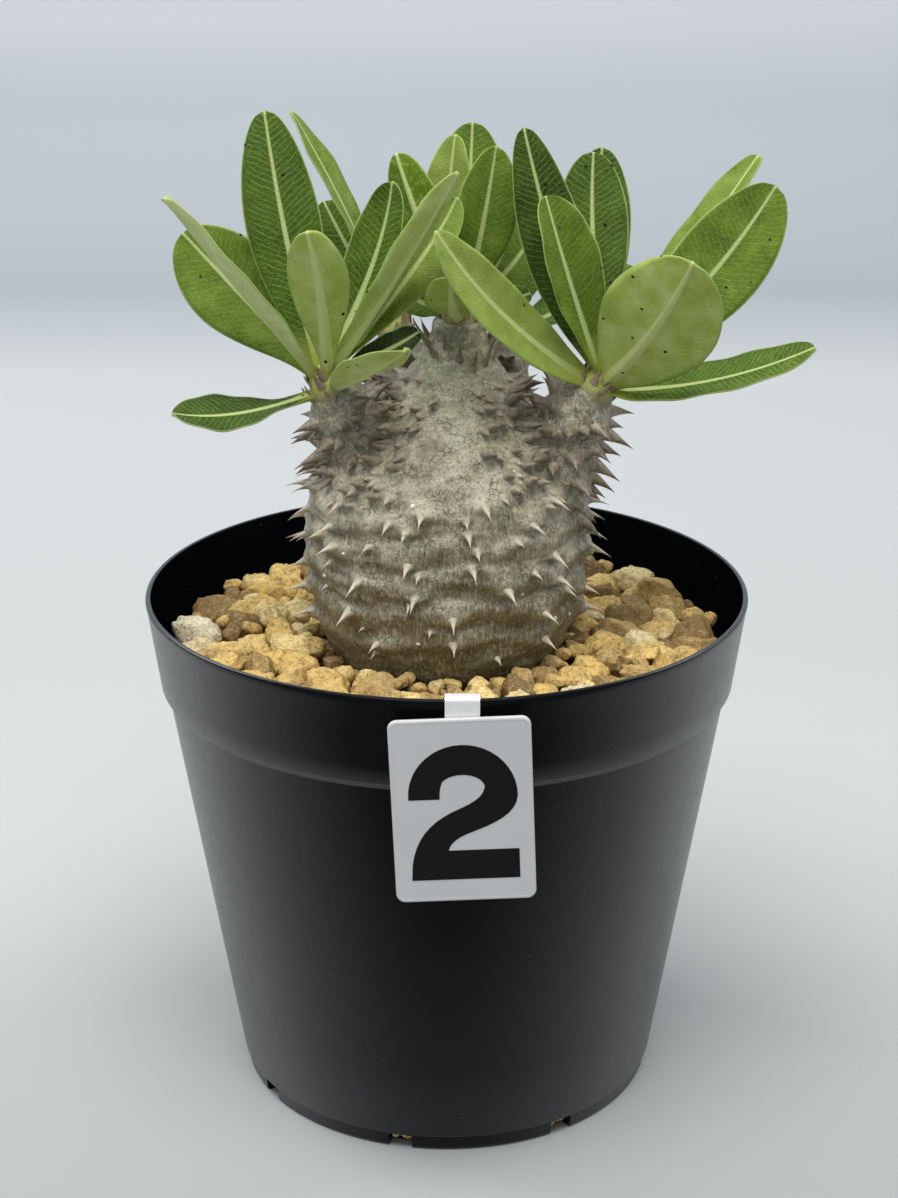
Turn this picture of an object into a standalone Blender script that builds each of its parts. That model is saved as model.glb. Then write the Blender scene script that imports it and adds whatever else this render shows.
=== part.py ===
"""A potted caudex plant: a squat, spiny, silver-brown trunk with five heads of leaves.

It stands in a round black nursery pot filled with pumice grit, and a numbered tag is
clipped over the rim.  Tables are in millimetres, meshes in metres.  +Z is up, the front
of the pot faces -Y, and the origin is the middle of the pot's underside.
"""
import math
import random

import bpy
import bmesh
from mathutils import Matrix, Vector
from mathutils.bvhtree import BVHTree

MM = 0.001

# Clearance left between solids that touch
GAP = 0.3

# Pot: a 12 cm round nursery pot
POT_HEIGHT = 104.2
RIM_RADIUS = 60.0
COLLAR_FOOT_Z = 85.8
COLLAR_FOOT_RADIUS = 57.5
BODY_TOP_RADIUS = 56.4
FOOT_RADIUS = 42.8
FOOT_BAND = 3.4
WALL = 1.2
FLOOR = 1.8
POT_SIDES = 48
DRAIN_SLOTS = 8
DRAIN_FIRST_ANGLE = -12.5
DRAIN_WIDTH = 4.8
DRAIN_HEIGHT = 3.0
DRAIN_INNER_RADIUS = 39.5

# Grit fill
GRIT_LEVEL = 91.6
STONES = 124
STONE_SIZES = (7.2, 9.8)
STONE_FLATNESS = 0.68
STONE_CORNERS = 9
STONE_INNER_EDGE = 27.6
STONE_ZONE = (29.5, 54.0)
STONE_RIM_GAP = 0.8
STONE_SEED = 31
TRUNK_HOLE_GAP = 0.6
TRUNK_HOLE_FLARE = 1.5

# Trunk: radius at each height, from the buried root to the top of the neck
TRUNK = [
    (60.0, 4.0), (68.0, 8.0), (76.0, 12.5), (84.0, 17.6), (90.0, 21.6), (95.0, 24.2),
    (100.0, 25.9), (106.0, 26.9), (112.0, 27.2), (118.0, 27.0), (124.0, 26.4),
    (130.0, 24.6), (135.0, 21.2), (140.0, 16.2), (145.0, 11.4), (149.5, 8.0),
    (153.5, 5.8), (157.0, 4.7),
]
TRUNK_SIDES = 26
TRUNK_RINGS = 27
NECK_SHIFT = 2.4
NECK_START_Z = 132.0
RIDGE_DEPTH = 0.5
RIDGE_PITCH = 6.2
RIDGE_LOW_Z = 96.0
RIDGE_HIGH_Z = 131.0

# Heads: the top of each stem, where its stem leaves the trunk, and the radii of both
HEADS = {
    "left": dict(top=(-21.5, -8.0, 146.0), root=(-10.0, -3.0, 122.0), radii=(15.5, 5.6)),
    "centre": dict(top=(2.4, 0.0, 157.0), root=(2.4, 0.0, 146.0), radii=(5.0, 4.2)),
    "right": dict(top=(27.5, -7.0, 145.5), root=(12.0, -2.0, 120.0), radii=(16.5, 5.6)),
    "back_left": dict(top=(-9.5, 17.0, 150.0), root=(-4.0, 7.0, 124.0), radii=(14.0, 4.4)),
    "back_right": dict(top=(12.0, 17.0, 150.0), root=(6.0, 7.0, 124.0), radii=(14.0, 4.4)),
}
STEM_SIDES = 12
STEM_RINGS = 5
SEAT_SHARE = 0.8
CORE_HEIGHT = 6.5
CORE_SIDES = 10

# Spines: rows round the trunk, rows on its shoulder that leave some degrees of the front
# bare on either side, and a spiral on each stem.  A droop is how far the point bends down, as a share of the length;
# a lift is how far the spine points up.
SPINE_ROWS = [(101.0, 9), (106.5, 10), (112.0, 11), (117.5, 12), (123.0, 13), (127.5, 12)]
SPINE_LENGTHS = (4.2, 5.6)
SPINE_WIDTH = 3.4
SPINE_DROOP = 0.3
SPINE_ROOT_DEPTH = 1.1
ROW_JITTER = 0.2
HEIGHT_JITTER = 1.2
LEAN_JITTER = 0.15
SHOULDER_ROWS = [(132.0, 14, 30.0), (136.0, 13, 22.0), (140.0, 11, 17.0), (144.5, 9, 14.0)]
SHOULDER_LIFT = 0.5
STEM_SPINES = {"left": 42, "centre": 9, "right": 44, "back_left": 18, "back_right": 18}
STEM_SPINE_LENGTHS = (4.8, 6.8)
STEM_SPINE_WIDTH = 4.2
STEM_SPINE_DROOP = 0.14
STEM_SPINE_SHARES = (0.2, 0.93)
STEM_SPINE_LIFTS = (-0.35, 0.45)
SPINE_SEED = 7
GOLDEN_ANGLE = 2.399963

# Leaves: head, rise of the base on the head, middle and tip of the midrib, width,
# the way the upper face looks (degrees from the front towards +X, degrees up), fold,
# and how far towards the tip the leaf is widest (1 is at the middle)
LEAVES = [
    ("left", 4.0, (-29.8, -4.0, 173.0), (-34.2, 3.0, 197.5), 15.2, (5, 12), 12, 1.3),
    ("left", 2.5, (-37.5, -14.5, 167.0), (-51.0, -18.0, 185.0), 13.0, (116, 14), 10, 1.2),
    ("left", 3.0, (-38.0, -1.0, 162.0), (-50.5, 3.0, 174.5), 18.5, (-5, 28), 8, 1.4),
    ("left", 2.5, (-23.0, -17.5, 165.5), (-25.0, -24.0, 180.0), 11.8, (180, 20), 10, 1.5),
    ("left", 5.0, (-14.0, -5.0, 169.5), (-10.0, -4.0, 185.5), 12.0, (-30, 12), 18, 1.3),
    ("left", 4.0, (-10.0, -13.0, 168.5), (2.0, -17.0, 189.5), 11.0, (-126, 12), 12, 1.3),
    ("left", 4.0, (-6.5, -5.0, 168.5), (2.0, -4.0, 182.5), 12.0, (-20, 30), 16, 1.3),
    ("left", 0.8, (-38.0, -15.0, 143.8), (-51.0, -20.0, 145.0), 13.0, (0, 74), 8, 1.8),
    ("left", 1.6, (-15.5, -20.5, 152.5), (-7.5, -29.0, 159.5), 13.2, (-150, 35), 12, 1.4),
    ("left", 3.0, (-11.5, -6.0, 153.5), (-5.0, -6.5, 157.5), 7.0, (-10, 40), 12, 1.2),
    ("left", 2.6, (-34.0, 7.0, 155.0), (-45.0, 18.0, 161.0), 14.0, (10, 62), 10, 1.4),
    ("centre", 3.0, (-3.8, 1.0, 173.5), (-9.5, 4.0, 189.5), 12.0, (162, 15), 12, 1.4),
    ("centre", 4.0, (4.0, 9.0, 175.5), (5.0, 16.0, 193.5), 15.0, (0, 15), 10, 1.5),
    ("centre", 4.5, (0.5, 4.5, 176.0), (1.8, 7.5, 192.5), 11.0, (-25, 10), 12, 1.4),
    ("centre", 4.0, (6.4, -1.5, 175.0), (9.2, -0.5, 191.5), 12.6, (12, 10), 12, 1.4),
    ("centre", 3.0, (10.8, 3.5, 172.0), (13.5, 4.0, 183.5), 7.0, (-90, 25), 12, 1.3),
    ("centre", 2.5, (12.0, 9.0, 166.0), (20.0, 14.0, 177.0), 11.0, (-10, 35), 12, 1.4),
    ("centre", 1.5, (10.0, -1.5, 161.3), (16.0, -3.0, 164.0), 7.0, (0, 50), 10, 1.3),
    ("centre", 1.5, (1.2, -10.0, 163.0), (0.8, -18.5, 170.5), 11.0, (180, 50), 10, 1.3),
    ("centre", 1.5, (-4.0, 3.0, 160.5), (-11.0, 5.0, 163.0), 7.0, (0, 45), 10, 1.3),
    ("centre", 3.0, (-2.0, 12.0, 171.0), (-6.0, 22.0, 182.0), 12.0, (10, 30), 12, 1.4),
    ("right", 4.5, (21.0, -7.0, 171.0), (14.2, -4.0, 195.5), 13.0, (8, 15), 12, 1.15),
    ("right", 4.0, (22.5, -12.0, 169.0), (18.0, -11.0, 184.0), 15.5, (40, 12), 24, 1.3),
    ("right", 5.0, (28.0, 1.5, 171.0), (28.0, 8.0, 189.0), 14.5, (0, 15), 12, 1.4),
    ("right", 4.0, (29.8, 9.0, 170.0), (30.2, 17.0, 188.5), 12.5, (0, 25), 12, 1.4),
    ("right", 1.6, (37.5, -20.5, 160.5), (43.5, -31.5, 176.0), 23.5, (155, 23), 8, 1.15),
    ("right", 3.0, (48.0, -4.5, 165.5), (62.0, 0.0, 184.0), 18.0, (10, 35), 10, 1.4),
    ("right", 4.0, (45.5, 4.0, 168.0), (60.0, 10.0, 188.0), 13.0, (-60, 50), 16, 1.4),
    ("right", 0.8, (48.5, -14.5, 149.6), (68.0, -20.0, 157.6), 14.0, (0, 72), 8, 1.05),
    ("right", 2.0, (10.5, -18.0, 163.2), (-2.0, -23.5, 180.0), 12.0, (20, 35), 12, 0.95),
    ("right", 2.4, (42.0, 4.0, 155.0), (56.0, 13.0, 162.0), 14.0, (0, 65), 10, 1.4),
    ("back_left", 3.5, (-19.2, 17.5, 174.0), (-30.5, 20.0, 195.0), 12.0, (77, 26), 10, 1.2),
    ("back_left", 2.5, (-17.5, 25.0, 162.5), (-25.0, 31.0, 175.5), 12.5, (0, 32), 12, 1.4),
    ("back_left", 1.5, (-13.0, 31.0, 159.0), (-17.0, 44.0, 168.0), 13.0, (0, 60), 10, 1.4),
    ("back_left", 1.0, (-24.0, 26.0, 154.0), (-38.0, 33.0, 159.0), 14.0, (30, 68), 10, 1.4),
    ("back_left", 3.5, (-6.0, 25.0, 164.0), (-5.0, 34.0, 175.0), 11.0, (0, 35), 12, 1.4),
    ("back_right", 3.5, (16.0, 26.0, 165.0), (19.0, 35.0, 179.0), 13.0, (0, 30), 12, 1.4),
    ("back_right", 1.2, (25.0, 26.0, 155.0), (39.0, 33.0, 161.0), 14.0, (-20, 68), 10, 1.4),
    ("back_right", 1.5, (10.5, 31.0, 159.0), (7.0, 44.0, 168.0), 13.0, (0, 60), 10, 1.4),
]
LEAF_STATIONS = (0.0, 0.12, 0.28, 0.45, 0.62, 0.77, 0.89, 0.965, 1.0)
LEAF_BASE_SHARE = 0.2
LEAF_TIP_SHARE = 0.06
LEAF_SWELLS = (0.9, 0.5)
BLADE = 0.64
MIDRIB = 0.7
EDGE_WAVE = 0.35

# Number tag: a plate hanging on a steel strip that is folded over the rim
TAG_SIZE = (25.3, 35.6, 1.2)
TAG_CORNER = 1.7
TAG_CORNER_STEPS = 4
TAG_CENTRE = (2.9, 83.8)
TAG_TILT = 2.4
CLIP_WIDTH = 6.2
CLIP_STEEL = 0.5
CLIP_CENTRE_X = 2.8
CLIP_OUTER_FOOT_Z = 90.0
CLIP_INNER_FOOT_Z = 95.0

# Colours: linear RGB, roughness, metallic
FINISH = {
    "pot_black": ((0.012, 0.013, 0.014), 0.42, 0.0),
    "grit_tan": ((0.42, 0.27, 0.13), 0.9, 0.0),
    "bark_silver": ((0.26, 0.23, 0.18), 0.55, 0.0),
    "leaf_green": ((0.10, 0.22, 0.045), 0.45, 0.0),
    "tag_white": ((0.72, 0.73, 0.74), 0.35, 0.0),
    "clip_steel": ((0.62, 0.62, 0.62), 0.28, 1.0),
}


def clear_scene():
    """Take every object out of the scene that the script starts in."""
    for item in list(bpy.data.objects):
        bpy.data.objects.remove(item, do_unlink=True)


def finish(name):
    """One Principled material for each entry of FINISH."""
    found = bpy.data.materials.get(name)
    if found:
        return found
    colour, roughness, metallic = FINISH[name]
    material = bpy.data.materials.new(name)
    material.use_nodes = True
    shader = material.node_tree.nodes["Principled BSDF"]
    shader.inputs["Base Color"].default_value = (*colour, 1.0)
    shader.inputs["Roughness"].default_value = roughness
    shader.inputs["Metallic"].default_value = metallic
    material.diffuse_color = (*colour, 1.0)
    return material


def object_from(bm, name):
    """Turn a bmesh in millimetres into an object in metres, with its faces outward."""
    bmesh.ops.recalc_face_normals(bm, faces=bm.faces)
    bmesh.ops.scale(bm, vec=(MM, MM, MM), verts=bm.verts)
    mesh = bpy.data.meshes.new(name)
    bm.to_mesh(mesh)
    bm.free()
    item = bpy.data.objects.new(name, mesh)
    bpy.context.scene.collection.objects.link(item)
    return item


def loft(bm, rings):
    """Skin a list of rings with equal point counts, and cap both ends."""
    rows = [[bm.verts.new(point) for point in ring] for ring in rings]
    count = len(rows[0])
    for low, high in zip(rows, rows[1:]):
        for i in range(count):
            j = (i + 1) % count
            bm.faces.new((low[i], low[j], high[j], high[i]))
    bm.faces.new(list(reversed(rows[0])))
    bm.faces.new(rows[-1])


def circle(radius, z, sides, centre=(0.0, 0.0)):
    """Points of a level ring round a centre."""
    steps = (2.0 * math.pi * i / sides for i in range(sides))
    return [Vector((centre[0] + radius * math.cos(a), centre[1] + radius * math.sin(a), z))
            for a in steps]


def boolean(item, others, operation):
    """Apply one Boolean of a whole collection to an object, and remove its members."""
    group = bpy.data.collections.new("members")
    bpy.context.scene.collection.children.link(group)
    for other in others:
        group.objects.link(other)
    modifier = item.modifiers.new("Join", "BOOLEAN")
    modifier.operation = operation
    modifier.operand_type = "COLLECTION"
    modifier.collection = group
    modifier.solver = "EXACT"
    bpy.context.view_layer.update()
    graph = bpy.context.evaluated_depsgraph_get()
    joined = bpy.data.meshes.new_from_object(item.evaluated_get(graph))
    item.modifiers.clear()
    item.data = joined
    for other in others:
        bpy.data.objects.remove(other, do_unlink=True)
    bpy.data.collections.remove(group)


def dress(item, material, holder, origin=(0.0, 0.0, 0.0), smooth_angle=38.0):
    """Give an object its finish, its origin and its parent."""
    item.data.materials.clear()
    item.data.materials.append(finish(material))
    place = Vector(origin) * MM
    item.data.transform(Matrix.Translation(-place))
    item.location = place
    item.parent = holder
    item.data.shade_smooth()
    item.data.set_sharp_from_angle(angle=math.radians(smooth_angle))


def between(low, high, share):
    """Straight-line value between two numbers or vectors."""
    return low + (high - low) * share


# Pot

def outer_radius(z):
    """Outer radius of the pot's tapered body under the collar."""
    share = (z - FOOT_BAND) / (COLLAR_FOOT_Z - FOOT_BAND)
    return between(FOOT_RADIUS + 0.6, BODY_TOP_RADIUS, share)


def inner_radius(z):
    """Inner radius of the pot, in its body or in its collar."""
    if z <= COLLAR_FOOT_Z:
        return outer_radius(z) - WALL
    share = (z - COLLAR_FOOT_Z) / (POT_HEIGHT - COLLAR_FOOT_Z)
    return between(COLLAR_FOOT_RADIUS, RIM_RADIUS, share) - WALL


def make_pot(holder):
    """Turned shell with a foot band, a collar and drain slots at the bottom corner."""
    collar_step = 0.6
    profile = [
        (FOOT_RADIUS - 1.0, 0.0),
        (FOOT_RADIUS - 0.2, 0.5),
        (FOOT_RADIUS, FOOT_BAND - 0.3),
        (outer_radius(FOOT_BAND), FOOT_BAND + 0.2),
        (outer_radius(COLLAR_FOOT_Z - collar_step), COLLAR_FOOT_Z - collar_step),
        (COLLAR_FOOT_RADIUS - 0.2, COLLAR_FOOT_Z),
        (COLLAR_FOOT_RADIUS + 0.1, COLLAR_FOOT_Z + collar_step),
        (RIM_RADIUS - 0.1, POT_HEIGHT - 0.5),
        (RIM_RADIUS - 0.4, POT_HEIGHT),
        (RIM_RADIUS - WALL + 0.3, POT_HEIGHT),
        (inner_radius(POT_HEIGHT - 0.5), POT_HEIGHT - 0.5),
        (inner_radius(COLLAR_FOOT_Z + 2.0), COLLAR_FOOT_Z + 2.0),
        (inner_radius(COLLAR_FOOT_Z - 2.0), COLLAR_FOOT_Z - 2.0),
        (inner_radius(FLOOR + 1.0), FLOOR + 1.0),
        (inner_radius(FLOOR) - 1.0, FLOOR),
    ]
    bm = bmesh.new()
    loft(bm, [circle(radius, z, POT_SIDES) for radius, z in profile])
    pot = object_from(bm, "pot")
    boolean(pot, drain_cutters(), "DIFFERENCE")
    dress(pot, "pot_black", holder)


def drain_cutters():
    """A box for each drain slot, across the corner of wall and floor."""
    cutters = []
    reach = FOOT_RADIUS + 4.0 - DRAIN_INNER_RADIUS
    for index in range(DRAIN_SLOTS):
        turn = math.radians(DRAIN_FIRST_ANGLE + 360.0 * index / DRAIN_SLOTS)
        size = Matrix.Diagonal((DRAIN_WIDTH, reach, DRAIN_HEIGHT + 2.0, 1.0))
        place = Matrix.Translation((0.0, -DRAIN_INNER_RADIUS - reach / 2.0,
                                    DRAIN_HEIGHT / 2.0 - 1.0))
        bm = bmesh.new()
        bmesh.ops.create_cube(bm, size=1.0,
                              matrix=Matrix.Rotation(turn, 4, "Z") @ place @ size)
        cutters.append(object_from(bm, f"drain_cutter_{index}"))
    return cutters


# Trunk shape

def trunk_radius(z):
    """Smooth radius of the trunk at a height, from the TRUNK table."""
    if z <= TRUNK[0][0]:
        return TRUNK[0][1]
    if z >= TRUNK[-1][0]:
        return TRUNK[-1][1]
    last = len(TRUNK) - 1
    index = max(i for i in range(last) if TRUNK[i][0] <= z)
    rows = [TRUNK[max(0, min(last, index + k))] for k in (-1, 0, 1, 2)]
    share = (z - rows[1][0]) / (rows[2][0] - rows[1][0])
    width = rows[2][0] - rows[1][0]
    slope_low = (rows[2][1] - rows[0][1]) / max(rows[2][0] - rows[0][0], 1.0) * width
    slope_high = (rows[3][1] - rows[1][1]) / max(rows[3][0] - rows[1][0], 1.0) * width
    cube, square = share ** 3, share ** 2
    return ((2 * cube - 3 * square + 1) * rows[1][1] + (cube - 2 * square + share) * slope_low
            + (3 * square - 2 * cube) * rows[2][1] + (cube - square) * slope_high)


def trunk_axis_x(z):
    """The neck leans a little towards +X."""
    share = (z - NECK_START_Z) / (TRUNK[-1][0] - NECK_START_Z)
    share = max(0.0, min(1.0, share))
    return NECK_SHIFT * share * share * (3.0 - 2.0 * share)


def trunk_point(z, angle):
    """A point of the trunk's skin, with its lumps and its transverse ridges."""
    radius = trunk_radius(z) * (1.0 + 0.014 * math.sin(2 * angle + 0.8)
                                + 0.010 * math.sin(5 * angle + 0.06 * z))
    window = (z - RIDGE_LOW_Z) * (RIDGE_HIGH_Z - z) / ((RIDGE_HIGH_Z - RIDGE_LOW_Z) / 2.0) ** 2
    if window > 0.0:
        wander = 1.3 * math.sin(2 * angle + 0.5) + 0.9 * math.sin(5 * angle)
        wave = math.sin(2.0 * math.pi * (z + wander) / RIDGE_PITCH)
        radius += RIDGE_DEPTH * math.sqrt(window) * wave
    return Vector((trunk_axis_x(z) + radius * math.cos(angle), radius * math.sin(angle), z))


def head_axis(head):
    """Unit vector along a head's stem."""
    return (Vector(head["top"]) - Vector(head["root"])).normalized()


def frame_of(axis):
    """Two unit vectors square to an axis."""
    side = axis.cross(Vector((0.0, 1.0, 0.0))).normalized()
    return side, side.cross(axis).normalized()


def stem_radius(head, share):
    """A stem is broad where it leaves the trunk and narrows towards its top."""
    low, high = head["radii"]
    return high + (low - high) * (1.0 - share) ** 1.5


def stem_point(head, share, angle, extra=0.0):
    """A point on a stem's skin."""
    axis = head_axis(head)
    side, front = frame_of(axis)
    centre = between(Vector(head["root"]), Vector(head["top"]), share)
    radius = stem_radius(head, share) + extra
    return centre + side * (radius * math.cos(angle)) + front * (radius * math.sin(angle))


def make_stem(name, head):
    """A tapered stem with a rounded shoulder and a flat seat for its head of leaves."""
    turns = [2.0 * math.pi * i / STEM_SIDES for i in range(STEM_SIDES)]
    shares = [i / STEM_RINGS for i in range(STEM_RINGS)] + [0.93]
    rings = [[stem_point(head, share, a) for a in turns] for share in shares]
    shrink = (SEAT_SHARE - 1.0) * head["radii"][1]
    rings.append([stem_point(head, 1.0, a, shrink) for a in turns])
    bm = bmesh.new()
    loft(bm, rings)
    return object_from(bm, f"stem_{name}")


# Spines

def make_spine(name, foot, out, length, width, droop):
    """A recurved four-sided spine, broad across and flat, its foot sunk in the bark."""
    out = out.normalized()
    across = out.cross(Vector((0.0, 0.0, 1.0))).normalized()
    rise = across.cross(out).normalized()
    start = foot - out * SPINE_ROOT_DEPTH
    middle = foot + out * (length * 0.45)
    tip = foot + out * length - rise * (droop * length)
    rings = []
    for centre, half in ((start, width * 0.5), (middle, width * 0.24)):
        rings.append([centre + across * half, centre + rise * (half * 0.75),
                      centre - across * half, centre - rise * (half * 0.75)])
    bm = bmesh.new()
    rows = [[bm.verts.new(point) for point in ring] for ring in rings]
    point = bm.verts.new(tip)
    bm.faces.new(list(reversed(rows[0])))
    for i in range(4):
        j = (i + 1) % 4
        bm.faces.new((rows[0][i], rows[0][j], rows[1][j], rows[1][i]))
        bm.faces.new((rows[1][i], rows[1][j], point))
    return object_from(bm, name)


def inside_trunk(point, margin):
    """Whether a point lies deeper than a margin inside the trunk's skin."""
    reach = math.hypot(point.x - trunk_axis_x(point.z), point.y)
    return point.z < TRUNK[-1][0] and reach < trunk_radius(point.z) - margin


def inside_stem(point, skip, margin):
    """Whether a point lies deeper than a margin inside another head's stem."""
    for name, head in HEADS.items():
        if name == skip:
            continue
        axis = head_axis(head)
        offset = point - Vector(head["root"])
        length = (Vector(head["top"]) - Vector(head["root"])).length
        share = offset.dot(axis) / length
        reach = (offset - axis * offset.dot(axis)).length
        if 0.0 < share < 1.0 and reach < stem_radius(head, share) - margin:
            return True
    return False


def jitter(rng, reach):
    """A seeded value between minus and plus a reach."""
    return rng.uniform(-reach, reach)


def spine_row(rng, row, z, count, lift):
    """Foot and direction of each spine in one row round the trunk."""
    spots = []
    for index in range(count):
        angle = 2.0 * math.pi * (index + 0.5 * (row % 2) + jitter(rng, ROW_JITTER)) / count
        foot = trunk_point(z + jitter(rng, HEIGHT_JITTER), angle)
        out = Vector((math.cos(angle), math.sin(angle), lift + jitter(rng, LEAN_JITTER)))
        if not inside_stem(foot, None, 0.3):
            spots.append((foot, out))
    return spots


def trunk_spines(rng):
    """Foot, direction, length, width and droop of the spines on the trunk."""
    spines = []
    for row, (z, count) in enumerate(SPINE_ROWS):
        for foot, out in spine_row(rng, row, z, count, 0.0):
            spines.append((foot, out, rng.uniform(*SPINE_LENGTHS), SPINE_WIDTH, SPINE_DROOP))
    for row, (z, count, bare) in enumerate(SHOULDER_ROWS):
        for foot, out in spine_row(rng, row, z, count, SHOULDER_LIFT):
            length = rng.uniform(*STEM_SPINE_LENGTHS)
            away = math.degrees(abs(math.atan2(foot.x, -foot.y)))
            if away > bare:
                spines.append((foot, out, length, STEM_SPINE_WIDTH, STEM_SPINE_DROOP))
    return spines


def stem_spines(rng):
    """The same for the spines in a spiral on each stem: low ones hang, high ones rise."""
    spines = []
    for name, count in STEM_SPINES.items():
        head = HEADS[name]
        for index in range(count):
            share = between(*STEM_SPINE_SHARES, (index + 0.5) / count)
            angle = GOLDEN_ANGLE * index + jitter(rng, LEAN_JITTER)
            foot = stem_point(head, share, angle)
            out = stem_point(head, share, angle, 1.0) - foot
            out.z += between(*STEM_SPINE_LIFTS, share) + jitter(rng, LEAN_JITTER)
            length = rng.uniform(*STEM_SPINE_LENGTHS)
            if not inside_trunk(foot, 0.2) and not inside_stem(foot, name, 0.2):
                spines.append((foot, out, length, STEM_SPINE_WIDTH, STEM_SPINE_DROOP))
    return spines


def tree_of(item):
    """Search tree of an object's faces, in metres."""
    points = [vertex.co for vertex in item.data.vertices]
    return BVHTree.FromPolygons(points, [polygon.vertices for polygon in item.data.polygons])


def make_caudex(holder, leaf_trees):
    """Trunk, stems and spines, grown as one piece.  A spine under a leaf is left out."""
    rng = random.Random(SPINE_SEED)
    low, high = TRUNK[0][0], TRUNK[-1][0]
    buried = 5
    heights = [between(low, RIDGE_LOW_Z - 2.0, i / buried) for i in range(buried)]
    count = TRUNK_RINGS - buried
    heights += [between(RIDGE_LOW_Z - 2.0, high, i / (count - 1)) for i in range(count)]
    turns = [2.0 * math.pi * i / TRUNK_SIDES for i in range(TRUNK_SIDES)]
    bm = bmesh.new()
    loft(bm, [[trunk_point(z, a) for a in turns] for z in heights])
    caudex = object_from(bm, "caudex")
    members = [make_stem(name, head) for name, head in HEADS.items() if name != "centre"]
    for index, row in enumerate(trunk_spines(rng) + stem_spines(rng)):
        spine = make_spine(f"spine_{index}", *row)
        grown = tree_of(spine)
        if any(grown.overlap(tree) for tree in leaf_trees):
            bpy.data.objects.remove(spine, do_unlink=True)
        else:
            members.append(spine)
    boolean(caudex, members, "UNION")
    dress(caudex, "bark_silver", holder, (0.0, 0.0, GRIT_LEVEL))


# Leaves

def direction(azimuth, elevation):
    """Unit vector from degrees round from the front (-Y) and degrees up."""
    turn, lift = math.radians(azimuth), math.radians(elevation)
    return Vector((math.cos(lift) * math.sin(turn), -math.cos(lift) * math.cos(turn),
                   math.sin(lift)))


def leaf_width(share, belly):
    """Obovate outline: narrow at the base, widest past the middle, round at the tip."""
    swell = math.sin(math.pi * min(share, 1.0) ** belly)
    full = max(swell, 0.0) ** between(*LEAF_SWELLS, share)
    floor = between(LEAF_BASE_SHARE, LEAF_TIP_SHARE, share)
    return max(floor, full)


def leaf_base(head, rise, towards):
    """Where a leaf starts, inside the core of its head."""
    start = Vector(head["top"]) + head_axis(head) * (GAP + rise)
    level = Vector((towards.x - start.x, towards.y - start.y, 0.0))
    return start + level.normalized() * 0.8


def make_leaf(name, row):
    """One thick blade: three points across, the same triangles on both faces."""
    head_name, rise, middle, tip, width, face, fold, belly = row
    middle, tip = Vector(middle), Vector(tip)
    base = leaf_base(HEADS[head_name], rise, middle)
    control = middle * 2.0 - (base + tip) / 2.0
    face = direction(*face)
    lift = math.radians(fold)
    bm = bmesh.new()
    upper, lower = [], []
    for t in LEAF_STATIONS:
        centre = base * (1 - t) ** 2 + control * (2 * t * (1 - t)) + tip * t ** 2
        tangent = ((control - base) * (1 - t) + (tip - control) * t).normalized()
        normal = (face - tangent * face.dot(tangent)).normalized()
        side = tangent.cross(normal)
        half = 0.5 * width * leaf_width(t, belly)
        top, under = [], []
        for sign in (-1, 0, 1):
            wave = EDGE_WAVE * abs(sign) * math.sin(9.0 * t + 1.7 * sign + width)
            spot = (centre + side * (sign * half * math.cos(lift))
                    + normal * (abs(sign) * half * math.sin(lift) + wave))
            rib = MIDRIB * (1.0 - t) if sign == 0 else 0.0
            top.append(bm.verts.new(spot + normal * (BLADE / 2.0)))
            under.append(bm.verts.new(spot - normal * (BLADE / 2.0 + rib)))
        upper.append(top)
        lower.append(under)
    for k in range(len(LEAF_STATIONS) - 1):
        blade_faces(bm, upper, k, False)
        blade_faces(bm, lower, k, True)
        for column in (0, 2):
            bm.faces.new((upper[k][column], upper[k + 1][column],
                          lower[k + 1][column], lower[k][column]))
    for k in (0, -1):
        for column in (0, 1):
            bm.faces.new((upper[k][column], upper[k][column + 1],
                          lower[k][column + 1], lower[k][column]))
    return object_from(bm, name)


def blade_faces(bm, rows, k, flip):
    """Four triangles between two stations, mirrored about the midrib."""
    low, high = rows[k], rows[k + 1]
    corners = [(low[0], low[1], high[1]), (low[0], high[1], high[0]),
               (low[1], low[2], high[1]), (low[2], high[2], high[1])]
    for triangle in corners:
        bm.faces.new(tuple(reversed(triangle)) if flip else triangle)


def make_core(name, head):
    """The short growing tip that the leaves of one head are sunk into."""
    axis = head_axis(head)
    side, front = frame_of(axis)
    seat = head["radii"][1] * SEAT_SHARE
    rings = []
    for share, size in ((0.0, 0.94), (0.35, 0.9), (0.75, 0.62), (1.0, 0.25)):
        centre = Vector(head["top"]) + axis * (GAP + CORE_HEIGHT * share)
        rings.append([centre + side * (seat * size * math.cos(a))
                      + front * (seat * size * math.sin(a))
                      for a in (2.0 * math.pi * i / CORE_SIDES for i in range(CORE_SIDES))])
    bm = bmesh.new()
    loft(bm, rings)
    return object_from(bm, f"leaves_{name}")


def make_leaves(holder):
    """One node of leaves for each head."""
    trees = []
    for name, head in HEADS.items():
        core = make_core(name, head)
        rows = [row for row in LEAVES if row[0] == name]
        blades = [make_leaf(f"leaf_{name}_{i}", row) for i, row in enumerate(rows)]
        boolean(core, blades, "UNION")
        trees.append(tree_of(core))
        dress(core, "leaf_green", holder, head["top"], 60.0)
    return trees


# Grit

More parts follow.
